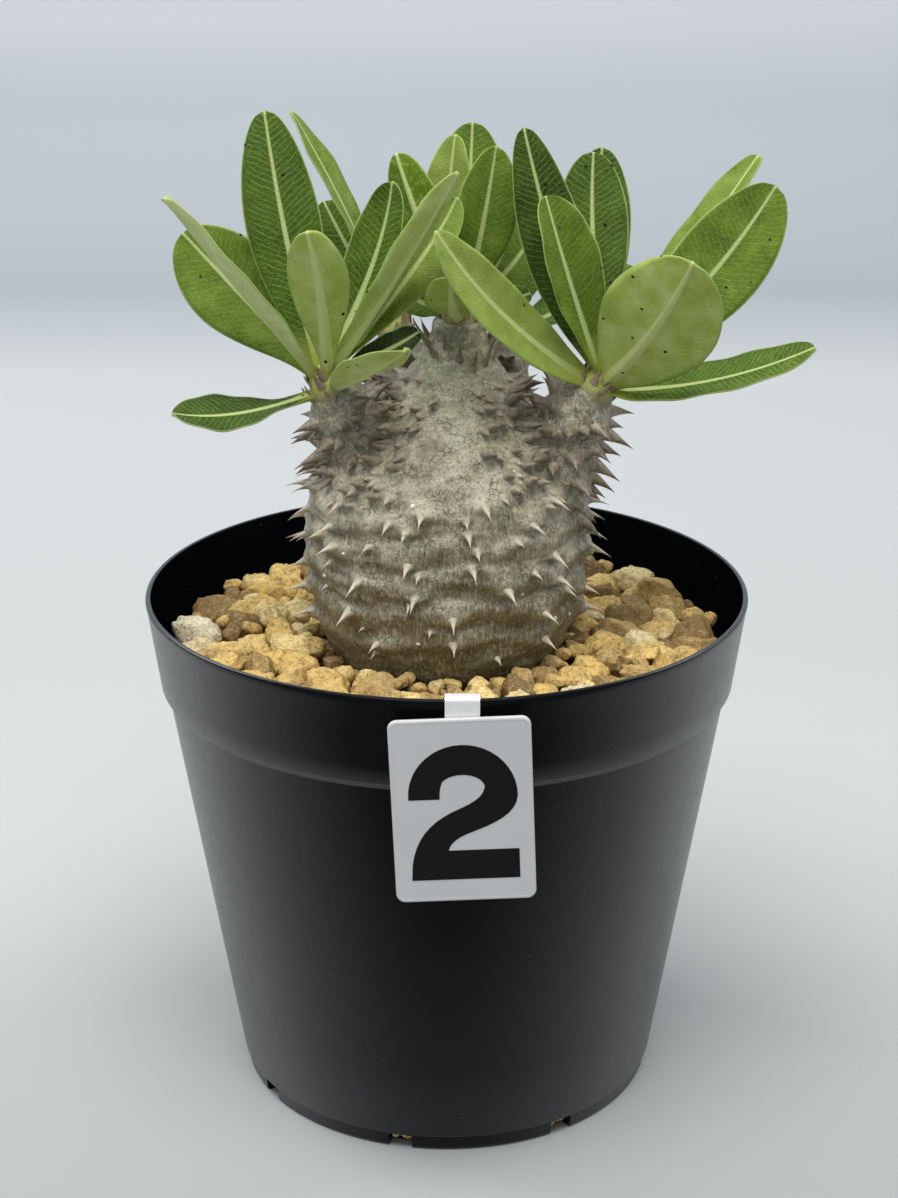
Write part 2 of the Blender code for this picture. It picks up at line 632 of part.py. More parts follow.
def make_stone(rng, name, centre, size):
    """A rough pebble: the hull of a few points spread over a flattened ball."""
    turn = Matrix.Rotation(rng.uniform(0.0, 2.0 * math.pi), 3, "Z")
    tilt = Matrix.Rotation(rng.uniform(-0.35, 0.35), 3, "X")
    spin = rng.uniform(0.0, 2.0 * math.pi)
    bm = bmesh.new()
    for i in range(STONE_CORNERS):
        z = 1.0 - 2.0 * (i + 0.5) / STONE_CORNERS
        reach = math.sqrt(1.0 - z * z)
        angle = GOLDEN_ANGLE * i + spin
        scale = size / 2.0 * rng.uniform(0.86, 1.0)
        corner = Vector((reach * math.cos(angle), 0.82 * reach * math.sin(angle),
                         STONE_FLATNESS * z)) * scale
        bm.verts.new(centre + turn @ (tilt @ corner))
    bmesh.ops.convex_hull(bm, input=bm.verts)
    loose = [vertex for vertex in bm.verts if not vertex.link_faces]
    bmesh.ops.delete(bm, geom=loose, context="VERTS")
    return object_from(bm, name)


def make_grit(holder):
    """The fill, cored out for the buried trunk, its top covered with stones."""
    skin = GAP + 0.1
    outer = [(inner_radius(FLOOR) - 1.0 - skin, FLOOR + GAP),
             (inner_radius(FLOOR + 2.0) - skin, FLOOR + 2.0),
             (inner_radius(COLLAR_FOOT_Z - 2.5) - skin, COLLAR_FOOT_Z - 2.5),
             (inner_radius(GRIT_LEVEL) - skin - 0.6, GRIT_LEVEL)]
    rings = [circle(radius, z, POT_SIDES) for radius, z in outer]
    steps = 4
    for i in range(steps + 1):
        z = between(GRIT_LEVEL, TRUNK[0][0], i / steps)
        hole = trunk_radius(z) + TRUNK_HOLE_FLARE * (1.0 - i / steps) + TRUNK_HOLE_GAP
        rings.append(circle(hole, z, POT_SIDES))
    rings.append(circle(trunk_radius(TRUNK[0][0]) + TRUNK_HOLE_GAP, TRUNK[0][0] - GAP, POT_SIDES))
    bm = bmesh.new()
    loft(bm, rings)
    grit = object_from(bm, "grit")
    rng = random.Random(STONE_SEED)
    stones = []
    for index in range(STONES):
        size = rng.uniform(*STONE_SIZES)
        inner = STONE_INNER_EDGE + size / 2.0
        outer_limit = inner_radius(GRIT_LEVEL) - STONE_RIM_GAP - size / 2.0
        low, high = STONE_ZONE
        reach = math.sqrt(between(low ** 2, high ** 2, (index + 0.5) / STONES))
        reach += jitter(rng, STONE_RIM_GAP)
        reach = max(inner, min(outer_limit, reach))
        angle = GOLDEN_ANGLE * index + jitter(rng, 0.04)
        centre = Vector((reach * math.cos(angle), reach * math.sin(angle),
                         GRIT_LEVEL + rng.uniform(0.0, 1.4)))
        stones.append(make_stone(rng, f"stone_{index}", centre, size))
    boolean(grit, stones, "UNION")
    dress(grit, "grit_tan", holder, (0.0, 0.0, FLOOR))


# Tag

def make_plate(holder, back_y):
    """A plate with round corners, hanging upright and turned slightly in its plane."""
    width, height, thickness = TAG_SIZE
    turn = math.radians(TAG_TILT)
    outline = []
    for corner, (sx, sz) in enumerate(((1, 1), (-1, 1), (-1, -1), (1, -1))):
        for step in range(TAG_CORNER_STEPS + 1):
            a = math.pi / 2.0 * (corner + step / TAG_CORNER_STEPS)
            x = sx * (width / 2.0 - TAG_CORNER) + TAG_CORNER * math.cos(a)
            z = sz * (height / 2.0 - TAG_CORNER) + TAG_CORNER * math.sin(a)
            outline.append((TAG_CENTRE[0] + x * math.cos(turn) - z * math.sin(turn),
                            TAG_CENTRE[1] + x * math.sin(turn) + z * math.cos(turn)))
    bm = bmesh.new()
    loft(bm, [[Vector((x, y, z)) for x, z in outline] for y in (back_y, back_y - thickness)])
    plate = object_from(bm, "tag_plate")
    dress(plate, "tag_white", holder, (TAG_CENTRE[0], back_y, TAG_CENTRE[1]))


def make_clip(holder):
    """A steel strip folded over the rim, its inner leg along the sloping collar."""
    outer_y = -(RIM_RADIUS + GAP)
    top_z = POT_HEIGHT + GAP
    inner_top_y = -(inner_radius(POT_HEIGHT) - GAP - 0.1)
    inner_foot_y = -(inner_radius(CLIP_INNER_FOOT_Z) - GAP - 0.1)
    strip = [
        (outer_y, CLIP_OUTER_FOOT_Z), (outer_y, top_z), (inner_top_y, top_z),
        (inner_foot_y, CLIP_INNER_FOOT_Z), (inner_foot_y + CLIP_STEEL, CLIP_INNER_FOOT_Z),
        (inner_top_y + CLIP_STEEL, top_z), (inner_top_y + CLIP_STEEL / 2, top_z + CLIP_STEEL),
        (outer_y - CLIP_STEEL / 2, top_z + CLIP_STEEL), (outer_y - CLIP_STEEL, top_z),
        (outer_y - CLIP_STEEL, CLIP_OUTER_FOOT_Z),
    ]
    ends = (CLIP_CENTRE_X - CLIP_WIDTH / 2.0, CLIP_CENTRE_X + CLIP_WIDTH / 2.0)
    bm = bmesh.new()
    loft(bm, [[Vector((x, y, z)) for y, z in strip] for x in ends])
    clip = object_from(bm, "tag_clip")
    dress(clip, "clip_steel", holder, (CLIP_CENTRE_X, outer_y, POT_HEIGHT), 30.0)
    return outer_y - CLIP_STEEL


def main():
    clear_scene()
    holder = bpy.data.objects.new("potted_plant", None)
    bpy.context.scene.collection.objects.link(holder)
    make_pot(holder)
    make_grit(holder)
    make_caudex(holder, make_leaves(holder))
    strip_front = make_clip(holder)
    make_plate(holder, strip_front - GAP)


main()
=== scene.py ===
"""Looks of the potted caudex plant: fine surfaces, finishes, soft studio light and camera.

Tables are in millimetres and meshes in metres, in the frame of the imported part: +Z is up,
the front of the pot faces -Y, and the origin is the middle of the pot's underside.
"""
import math
import random

import bmesh
import bpy
import numpy as np
from mathutils import Matrix, Vector, noise
from mathutils.bvhtree import BVHTree


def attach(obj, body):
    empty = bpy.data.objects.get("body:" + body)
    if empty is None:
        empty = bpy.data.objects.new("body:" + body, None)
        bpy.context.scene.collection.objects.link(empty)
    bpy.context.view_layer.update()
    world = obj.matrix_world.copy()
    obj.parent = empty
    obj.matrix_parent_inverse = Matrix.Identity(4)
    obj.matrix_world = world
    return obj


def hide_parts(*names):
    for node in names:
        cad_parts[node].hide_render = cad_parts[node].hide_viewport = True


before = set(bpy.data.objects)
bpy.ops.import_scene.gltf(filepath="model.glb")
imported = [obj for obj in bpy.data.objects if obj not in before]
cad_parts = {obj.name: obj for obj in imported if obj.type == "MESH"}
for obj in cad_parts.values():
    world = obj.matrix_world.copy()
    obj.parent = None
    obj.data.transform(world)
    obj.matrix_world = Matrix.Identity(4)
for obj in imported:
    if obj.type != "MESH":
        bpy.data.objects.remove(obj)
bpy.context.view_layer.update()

MM = 0.001

# Clearance between solids that touch
GAP = 0.3

# Camera, at the photograph's viewing angle
CAMERA_PLACE = (0.45, -425.5, 258.2)
CAMERA_PITCH = 20.27
CAMERA_LENS = 67.82
CAMERA_SENSOR = 36.0

# Backdrop: how far behind the pot its wall stands
WALL_PLACE = 830.0
WALL_BEND = 90.0

# Pot
POT_HEIGHT = 104.2
RIM_RADIUS = 60.0
COLLAR_FOOT_Z = 85.8
COLLAR_FOOT_RADIUS = 57.5
BODY_TOP_RADIUS = 56.4
FOOT_RADIUS = 42.8
FOOT_BAND = 3.4
WALL = 1.2
FLOOR = 1.8
POT_SIDES = 180
POT_SHARP = 32.0
FOOT_ROUND = 0.7
FOOT_FLARE = 0.6
BODY_HEIGHTS = (FOOT_BAND + 0.5, 20.0, 40.0, 60.0, 78.0, COLLAR_FOOT_Z - 1.2)
COLLAR_HEIGHTS = (90.0, 96.0, POT_HEIGHT - 1.6)
HOLLOW_HEIGHTS = (POT_HEIGHT - 1.6, 96.0, COLLAR_FOOT_Z + 2.0, COLLAR_FOOT_Z - 2.0, 60.0, 30.0,
                  FLOOR + 1.0)
DRAIN_SLOTS = 8
DRAIN_FIRST_ANGLE = -12.5
DRAIN_WIDTH = 4.8
DRAIN_HEIGHT = 3.0
DRAIN_INNER_RADIUS = 39.5

# Grit fill: its bed, the large stones, the small ones between them and those in the slots
GRIT_LEVEL = 91.6
GRIT_EDGE_DROP = 2.6
FILL_HEIGHTS = (FLOOR + 2.0, 30.0, 60.0, COLLAR_FOOT_Z - 2.5)
STONES = 124
STONE_SIZES = (7.2, 9.8)
STONE_SEED = 31
STONE_RING = (29.5, 54.0)
STONE_TRUNK_REACH = 27.6
STONE_WALL_GAP = 0.8
STONE_JITTER = 0.8
STONE_TURN_JITTER = 0.04
STONE_RISE = 1.4
STONE_GROWTH = 1.22
GROWN_WALL_GAP = 0.6
GROWN_REACH_SHARE = 0.64
PALE_STONE = ((-50.5, -1.0, 93.8), 12.0)
PALE_STONE_SEED = 1006
LARGE_SHAPES, SMALL_SHAPES, DRAIN_SHAPES = 1000, 5000, 9000
SMALL_STONES = 190
SMALL_STONE_SIZES = (3.6, 6.4)
SMALL_STONE_REACH = 24.2
SMALL_STONE_RISES = (-1.2, 2.6)
SMALL_STONE_NEAR = 0.34
SMALL_STONE_TRIES = 12000
DRAIN_STONE_OFFSETS = (-1.3, 0.4, 1.6)
DRAIN_STONE_SIZES = (1.9, 2.6)
DRAIN_STONE_REACHES = (40.4, 41.0)
DRAIN_STONE_HEIGHTS = (1.5, 2.4)

# One stone: how often and how deep it is cut, its lumps (waves and height), how its three
# widths vary, and its tints: the share of stones below which each range holds
STONE_CUTS = 9
CUT_LIMITS = (0.55, 0.88)
CUT_SHARE = 0.86
STONE_LUMPS = ((1.6, 0.09), (2.8, 0.065), (5.0, 0.05), (8.5, 0.028))
STONE_STRETCH = ((0.95, 1.12), (0.60, 0.95), (0.58, 0.8))
STONE_TILT = 0.6
STONE_TINTS = ((0.2, 0.08, 0.3), (0.42, 0.34, 0.52), (0.9, 0.58, 0.88), (1.0, 0.88, 0.97))
ANY_TURN = (0.0, 6.28)

# Steps in use for several parts: shares of a run, and the turn of a spiral
QUARTERS = (0.0, 0.25, 0.5, 0.75, 1.0)
GOLDEN_ANGLE = 2.399963

# Trunk: radius at each height, from the buried root to the top of the neck
TRUNK = [
    (60.0, 4.0), (68.0, 8.0), (76.0, 12.5), (84.0, 17.6), (90.0, 21.6), (95.0, 24.2),
    (100.0, 25.9), (106.0, 26.9), (112.0, 27.2), (118.0, 27.0), (124.0, 26.4),
    (130.0, 24.6), (135.0, 21.2), (140.0, 16.2), (145.0, 11.4), (149.5, 8.0),
    (153.5, 5.8), (157.0, 4.7),
]
NECK_SHIFT = 2.4
NECK_START_Z = 132.0
RIDGE_DEPTH = 0.5
RIDGE_PITCH = 6.2
RIDGE_LOW_Z = 96.0
RIDGE_HIGH_Z = 131.0

# Heads: the top of each stem, where its stem leaves the trunk, and the radii of both
HEADS = {
    "left": dict(top=(-21.5, -8.0, 146.0), root=(-10.0, -3.0, 122.0), radii=(15.5, 5.6)),
    "centre": dict(top=(2.4, 0.0, 157.0), root=(2.4, 0.0, 146.0), radii=(5.0, 4.2)),
    "right": dict(top=(27.5, -7.0, 145.5), root=(12.0, -2.0, 120.0), radii=(16.5, 5.6)),
    "back_left": dict(top=(-9.5, 17.0, 150.0), root=(-4.0, 7.0, 124.0), radii=(14.0, 4.4)),
    "back_right": dict(top=(12.0, 17.0, 150.0), root=(6.0, 7.0, 124.0), radii=(14.0, 4.4)),
}
CORE_HEIGHT = 6.5
SEAT_SHARE = 0.8

# Spines: rows round the trunk, rows on its shoulder that leave some degrees of the front
# bare on either side, and a spiral on each stem.  A droop is how far the point bends down,
# as a share of the length; a lift is how far the spine points up.
SPINE_ROWS = [(101.0, 9), (106.5, 10), (112.0, 11), (117.5, 12), (123.0, 13), (127.5, 12)]
SPINE_LENGTHS = (4.2, 5.6)
SPINE_WIDTH = 3.4
SPINE_DROOP = 0.3
ROW_JITTER = 0.2
HEIGHT_JITTER = 1.2
LEAN_JITTER = 0.15
SHOULDER_ROWS = [(132.0, 14, 30.0), (136.0, 13, 22.0), (140.0, 11, 17.0), (144.5, 9, 14.0)]
SHOULDER_LIFT = 0.5
STEM_SPINES = {"left": 42, "centre": 9, "right": 44, "back_left": 18, "back_right": 18}
STEM_SPINE_LENGTHS = (4.8, 6.8)
STEM_SPINE_WIDTH = 4.2
STEM_SPINE_DROOP = 0.14
STEM_SPINE_SHARES = (0.2, 0.93)
STEM_SPINE_LIFTS = (-0.35, 0.45)
SPINE_SEED = 7
SPINE_SIDES = 10
SPINE_STEPS = (-0.25, 0.0, 0.08, 0.17, 0.27, 0.38, 0.5, 0.63, 0.77, 0.9, 1.0)
FRONT = -math.pi / 2.0
ROW_COVER = 0.3
STEM_COVER = 0.2

# Smaller spines between them: lengths, widths, droop and darkness of each kind
STEM_NUB = ((3.2, 4.8), (3.0, 3.8), 0.12, 0.9)
FLANK_NUB = ((3.2, 4.6), (3.2, 4.0), 0.1, 0.75)
WORN_NUB = ((1.6, 3.0), (3.0, 4.4), 0.15, 0.45)
FIN = ((5.0, 6.4), (4.2,), -0.05, 0.95)
LOW_NUB = ((1.8, 3.4), (2.0, 3.0), 0.3, 0.1)
NECK_SPINE = ((4.4, 6.4), (1.9,), -0.06, 1.0)
STEM_NUBS = {"left": 30, "right": 30, "back_left": 16, "back_right": 16}
STEM_NUB_START = 0.24
STEM_NUB_SPAN = 0.66
FLANK_NUB_BARE = (30.0, 16.0)
FLANK_NUB_HEIGHTS = (130.0, 133.6, 137.2, 140.8, 144.4)
FLANK_NUB_TURNS = (4.0, 17.0)
WORN_NUBS = 70
WORN_NUB_HEIGHTS = (126.0, 149.0)
WORN_NUB_TURNS = (24.0, 80.0)
FIN_HEIGHTS = (138.5, 141.5, 144.5)
FIN_TURNS = (52.0, 68.0, 84.0)
LOW_NUB_ROWS = ((98.0, 6), (103.6, 7), (109.2, 8), (114.8, 9), (120.4, 10), (126.0, 11))
NECK_SPINES = 16
NECK_SPINE_HEIGHTS = (150.0, 154.5)

# Skin of trunk and stems: its fineness, and the knobs under the spines, where a pair is
# for pale and for dark spines and a width or height is a share of the spine's width
BARK_SIDES = 120
BARK_ROWS = 150
STEM_ROWS = 30
BARK_VOXEL = 0.55
BARK_SMOOTHING = 9
BARK_RISE = 0.35
KNOB_RANGE = 10.0
KNOB_WIDTHS = (0.86, 0.60)
KNOB_HEIGHTS = (0.56, 0.52)
KNOB_UNDERSIDE = 0.62
KNOB_DEPTH = 4.0
KNOB_PEAKS = (1.7, 1.35)
KNOB_FALL = 1.25
KNOB_SAG = 0.35
FOLD_DEPTH = 0.3
SAP_CRUSTS = 30
SAP_SIZES = (0.35, 0.75)
SAP_HEIGHTS = (101.0, 136.0)

# Leaves of each head: rise of the base on it, middle and tip of the midrib, width,
# the way the upper face looks (degrees from the front towards +X, degrees up), fold,
# how far towards the tip the leaf is widest (1 is at the middle), and how light it is,
# partly its own lightness and partly painted light and shade
LEAVES = {
    "left": [
        (4.0, (-29.8, -4.0, 173.0), (-34.2, 3.0, 197.5), 15.2, (5, 12), 12, 1.3, -0.3),
        (2.5, (-37.5, -14.5, 167.0), (-51.0, -18.0, 185.0), 13.0, (116, 14), 10, 1.2, 0.9),
        (3.0, (-38.0, -1.0, 162.0), (-50.5, 3.0, 174.5), 18.5, (-5, 28), 8, 1.4, 0.3),
        (2.5, (-23.0, -17.5, 165.5), (-25.0, -24.0, 180.0), 11.8, (180, 20), 10, 1.5, 0.4),
        (5.0, (-14.0, -5.0, 169.5), (-10.0, -4.0, 185.5), 12.0, (-30, 12), 18, 1.3, -0.2),
        (4.0, (-10.0, -13.0, 168.5), (2.0, -17.0, 189.5), 11.0, (-126, 12), 12, 1.3, 0.6),
        (4.0, (-6.5, -5.0, 168.5), (2.0, -4.0, 182.5), 12.0, (-20, 30), 16, 1.3, 0.5),
        (0.8, (-38.0, -15.0, 143.8), (-51.0, -20.0, 145.0), 13.0, (0, 74), 8, 1.8, -0.7),
        (1.6, (-15.5, -20.5, 152.5), (-7.5, -29.0, 159.5), 13.2, (-150, 35), 12, 1.4, 0.6),
        (3.0, (-11.5, -6.0, 153.5), (-5.0, -6.5, 157.5), 7.0, (-10, 40), 12, 1.2, -1.0),
        (2.6, (-34.0, 7.0, 155.0), (-45.0, 18.0, 161.0), 14.0, (10, 62), 10, 1.4, 0.0),
    ],
    "centre": [
        (3.0, (-3.8, 1.0, 173.5), (-9.5, 4.0, 189.5), 12.0, (162, 15), 12, 1.4, -1.0),
        (4.0, (4.0, 9.0, 175.5), (5.0, 16.0, 193.5), 15.0, (0, 15), 10, 1.5, 0.1),
        (4.5, (0.5, 4.5, 176.0), (1.8, 7.5, 192.5), 11.0, (-25, 10), 12, 1.4, 0.8),
        (4.0, (6.4, -1.5, 175.0), (9.2, -0.5, 191.5), 12.6, (12, 10), 12, 1.4, 0.3),
        (3.0, (10.8, 3.5, 172.0), (13.5, 4.0, 183.5), 7.0, (-90, 25), 12, 1.3, 0.0),
        (2.5, (12.0, 9.0, 166.0), (20.0, 14.0, 177.0), 11.0, (-10, 35), 12, 1.4, 0.2),
        (1.5, (10.0, -1.5, 161.3), (16.0, -3.0, 164.0), 7.0, (0, 50), 10, 1.3, 0.0),
        (1.5, (1.2, -10.0, 163.0), (0.8, -18.5, 170.5), 11.0, (180, 50), 10, 1.3, 0.2),
        (1.5, (-4.0, 3.0, 160.5), (-11.0, 5.0, 163.0), 7.0, (0, 45), 10, 1.3, 0.0),
        (3.0, (-2.0, 12.0, 171.0), (-6.0, 22.0, 182.0), 12.0, (10, 30), 12, 1.4, 0.0),
    ],
    "right": [
        (4.5, (21.0, -7.0, 171.0), (14.2, -4.0, 195.5), 13.0, (8, 15), 12, 1.15, -0.7),
        (4.0, (22.5, -12.0, 169.0), (18.0, -11.0, 184.0), 15.5, (40, 12), 24, 1.3, 0.2),
        (5.0, (28.0, 1.5, 171.0), (28.0, 8.0, 189.0), 14.5, (0, 15), 12, 1.4, -0.3),
        (4.0, (29.8, 9.0, 170.0), (30.2, 17.0, 188.5), 12.5, (0, 25), 12, 1.4, -0.4),
        (1.6, (37.5, -20.5, 160.5), (43.5, -31.5, 176.0), 23.5, (155, 23), 8, 1.15, 0.4),
        (3.0, (48.0, -4.5, 165.5), (62.0, 0.0, 184.0), 18.0, (10, 35), 10, 1.4, 0.2),
        (4.0, (45.5, 4.0, 168.0), (60.0, 10.0, 188.0), 13.0, (-60, 50), 16, 1.4, 0.5),
        (0.8, (48.5, -14.5, 149.6), (68.0, -20.0, 157.6), 14.0, (0, 72), 8, 1.05, -0.2),
        (2.0, (10.5, -18.0, 163.2), (-2.0, -23.5, 180.0), 12.0, (20, 35), 12, 0.95, 0.9),
        (2.4, (42.0, 4.0, 155.0), (56.0, 13.0, 162.0), 14.0, (0, 65), 10, 1.4, 0.0),
    ],
    "back_left": [
        (3.5, (-19.2, 17.5, 174.0), (-30.5, 20.0, 195.0), 12.0, (77, 26), 10, 1.2, 0.4),
        (2.5, (-17.5, 25.0, 162.5), (-25.0, 31.0, 175.5), 12.5, (0, 32), 12, 1.4, -0.2),
        (1.5, (-13.0, 31.0, 159.0), (-17.0, 44.0, 168.0), 13.0, (0, 60), 10, 1.4, 0.0),
        (1.0, (-24.0, 26.0, 154.0), (-38.0, 33.0, 159.0), 14.0, (30, 68), 10, 1.4, 0.0),
        (3.5, (-6.0, 25.0, 164.0), (-5.0, 34.0, 175.0), 11.0, (0, 35), 12, 1.4, 0.0),
    ],
    "back_right": [
        (3.5, (16.0, 26.0, 165.0), (19.0, 35.0, 179.0), 13.0, (0, 30), 12, 1.4, 0.0),
        (1.2, (25.0, 26.0, 155.0), (39.0, 33.0, 161.0), 14.0, (-20, 68), 10, 1.4, 0.0),
        (1.5, (10.5, 31.0, 159.0), (7.0, 44.0, 168.0), 13.0, (0, 60), 10, 1.4, 0.0),
    ],
}
LEAF_LENGTHWISE = 40
LEAF_ACROSS = 10
LEAF_BASE_SHARE = 0.2
LEAF_SWELLS = (0.9, 0.5)
BLADE = 0.5
MIDRIB = 0.85
EDGE_WAVE = 0.35
EDGE_RIPPLE = 0.16
FOLD_ROUND = 0.03
FOLD_SCALE = 0.842
STALK = 0.55
STALK_SHARE = 0.16
VEIN_SPACING = 1.2
VEIN_RISE = 0.62
# The last value is each leaf's lightness, partly its own and partly painted light and shade
LEAF_VALUES = ("along", "across", "edge", "share", "tone_and_painted_light")

# Growing tips: sides and rows of the dome, and its dry bracts
CROWN_SIDES = 28
CROWN_ROWS = 12
CROWN_SEED = 17
BRACTS = 16
BRACT_ROWS = 5
BRACT_SIDES = (-1.0, -0.5, 0.0, 0.5, 1.0)
BRACT_THICKNESS = 0.16
BRACT_LENGTHS = (3.0, 4.6)
BRACT_HALVES = (0.8, 1.2)
BRACT_LEVELS = (-0.6, 3.6)
CROWN_DEPTH = 1.6

# Number tag
TAG_SIZE = (25.3, 35.6, 1.2)
TAG_CORNER = 1.7
TAG_CENTRE = (2.9, 83.8)
TAG_TILT = 2.4
TAG_BEVEL = 0.35
CLIP_WIDTH = 6.2
CLIP_STEEL = 0.5
CLIP_CENTRE_X = 2.8
CLIP_OUTER_FOOT_Z = 90.0
CLIP_INNER_FOOT_Z = 95.0
CLIP_BEND = 0.4
NUMERAL_PLACE = (-9.6, -13.4)

# Studio floor
STAGE_REACH = 1500.0
STAGE_HEIGHT = 900.0
STAGE_BEND_STEPS = 14

# Lights: name, place and size in metres, power in watts and colour, over a pale sky
LIGHTS = [
    ("above", (-0.05, -0.33, 1.0), (0.7, 0.5), 9.6, (1.0, 0.985, 0.96)),
    ("left", (-0.6, 0.3, 0.75), (0.45, 0.45), 3.6, (1.0, 0.99, 0.97)),
    ("right", (0.65, 0.25, 0.75), (0.4, 0.4), 2.4, (1.0, 0.99, 0.97)),
]
LIGHT_AIM = (0.0, 0.0, 0.1)
SKY_COLOUR = (0.90, 0.95, 1.0, 1.0)
SKY_STRENGTH = 0.57

# Range that most of a noise lies in
NOISE_RANGE = (0.3, 0.7)


# Materials

class Finish:
    """One material under construction: its nodes are made and joined in few words."""

    def __init__(self, name, **values):
        self.material = bpy.data.materials.new(name)
        self.material.use_nodes = True
        self.tree = self.material.node_tree
        self.shader = self.tree.nodes["Principled BSDF"]
        place = self.tree.nodes.new("ShaderNodeTexCoord").outputs["Object"]
        self.mm = self.scaled(place, (1.0 / MM,) * 3)
        self.wear(**values)

    def plug(self, socket, value):
        """Join an output to a socket, or set the socket's own value."""
        if isinstance(value, bpy.types.NodeSocket):
            self.tree.links.new(value, socket)
        elif isinstance(value, tuple) and socket.type == "RGBA":
            socket.default_value = (*value, 1.0)
        else:
            socket.default_value = value

    def node(self, kind, inputs, **settings):
        """A node with its settings, its inputs joined or set by name or number."""
        item = self.tree.nodes.new("ShaderNode" + kind)
        for key, value in settings.items():
            setattr(item, key, value)
        for key, value in inputs.items():
            self.plug(item.inputs[key], value)
        return item

    def scaled(self, vector, scale):
        """A vector with each axis multiplied."""
        return self.node("VectorMath", {0: vector, 1: scale}, operation="MULTIPLY").outputs[0]

    def axis(self, number):
        """One coordinate in millimetres: 0 is X, 1 is Y and 2 is Z."""
        return self.node("SeparateXYZ", {0: self.mm}).outputs[number]

    def math(self, operation, first, second=0.0):
        """One number worked out from others."""
        return self.node("Math", {0: first, 1: second}, operation=operation).outputs[0]

    def times(self, first, second):
        """Two numbers multiplied."""
        return self.math("MULTIPLY", first, second)

    def noise(self, scale, detail=2.0, roughness=0.5, vector=None, distortion=0.0):
        """Cloudy noise from 0 to 1, its scale in features for each millimetre."""
        inputs = {"Vector": vector or self.mm, "Scale": scale, "Detail": detail,
                  "Roughness": roughness, "Distortion": distortion}
        return self.node("TexNoise", inputs).outputs["Fac"]

    def cells(self, scale, feature="F1"):
        """Cell pattern, its scale in cells for each millimetre."""
        inputs = {"Vector": self.mm, "Scale": scale}
        return self.node("TexVoronoi", inputs, feature=feature).outputs["Distance"]

    def remap(self, value, low, high, to_low=0.0, to_high=1.0):
        """A number moved from one range to another, held within it."""
        inputs = {0: value, 1: low, 2: high, 3: to_low, 4: to_high}
        return self.node("MapRange", inputs).outputs[0]

    def spread(self, cloud, low, high):
        """A noise's usual range moved to another."""
        return self.remap(cloud, *NOISE_RANGE, low, high)

    def mix(self, share, first, second):
        """A colour between two others."""
        inputs = {0: share, 6: first, 7: second}
        return self.node("Mix", inputs, data_type="RGBA").outputs[2]

    def coats(self, colour, *rows):
        """A colour under others, each with the share of it that covers what is below."""
        for share, coat in rows:
            colour = self.mix(share, colour, coat)
        return colour

    def ramp(self, value, stops):
        """A colour read from a list of places and colours."""
        item = self.node("ValToRGB", {0: value})
        stop_list = item.color_ramp.elements
        while len(stop_list) < len(stops):
            stop_list.new(0.5)
        for stop, (place, colour) in zip(stop_list, stops):
            stop.position = place
            stop.color = (*colour, 1.0)
        return item.outputs[0]

    def value_of(self, name):
        """The number that the mesh keeps under a name at each point."""
        return self.node("Attribute", {}, attribute_name=name).outputs["Fac"]

    def relief(self, *rows):
        """Reliefs over one another, each with its depth in millimetres and its strength."""
        joined = {}
        for height, depth, strength in rows:
            inputs = {"Height": height, "Distance": depth * MM, "Strength": strength}
            joined = {"Normal": self.node("Bump", inputs | joined).outputs["Normal"]}
        return joined["Normal"]

    def wear(self, **values):
        """Join or set the shader's sockets, and hand over the material."""
        for key, value in values.items():
            self.plug(self.shader.inputs[key.replace("_", " ")], value)
        return self.material

    def done(self, colour, grain, rough, *reliefs):
        """Hand over the material, its roughness between two values as a noise says."""
        return self.wear(Base_Color=colour, Roughness=self.spread(grain, *rough),
                         Normal=self.relief(*reliefs))


def pot_finish():
    """Thin black plastic: soft gloss, moulding waves, fine scratches and dust."""
    f = Finish("pot_black", IOR=1.58)
    film = f.noise(0.5, 4.0, 0.6)
    dust = f.times(f.remap(f.cells(0.42), 0.0, 0.13, 1.0, 0.0),
                   f.remap(f.noise(0.11, 1.0), 0.52, 0.62))
    base = f.mix(f.noise(0.05, 3.0), (0.0012, 0.0020, 0.0028), (0.0028, 0.0038, 0.0048))
    base = f.mix(f.times(dust, 0.35), base, (0.16, 0.16, 0.15))
    gloss = f.math("ADD", f.remap(film, 0.3, 0.75, 0.27, 0.36), f.times(dust, 0.3))
    slant = f.noise(0.9, 2.0, 0.5, f.scaled(f.mm, (0.55, 0.55, 0.09)), 1.2)
    scratch = f.times(f.remap(slant, 0.485, 0.5), f.remap(slant, 0.515, 0.5))
    normal = f.relief((f.noise(0.035, 1.0), 0.5, 0.25), (scratch, 0.03, 0.3), (film, 0.03, 0.5))
    facing = f.node("LayerWeight", {"Blend": 0.5}).outputs["Facing"]
    shine = f.times(f.remap(facing, 0.2, 0.62, 0.06, 1.0),
                    f.remap(f.value_of("inside"), 0.0, 1.0, 1.0, 0.0))
    return f.wear(Base_Color=base, Roughness=gloss, Normal=normal, Specular_IOR_Level=shine)


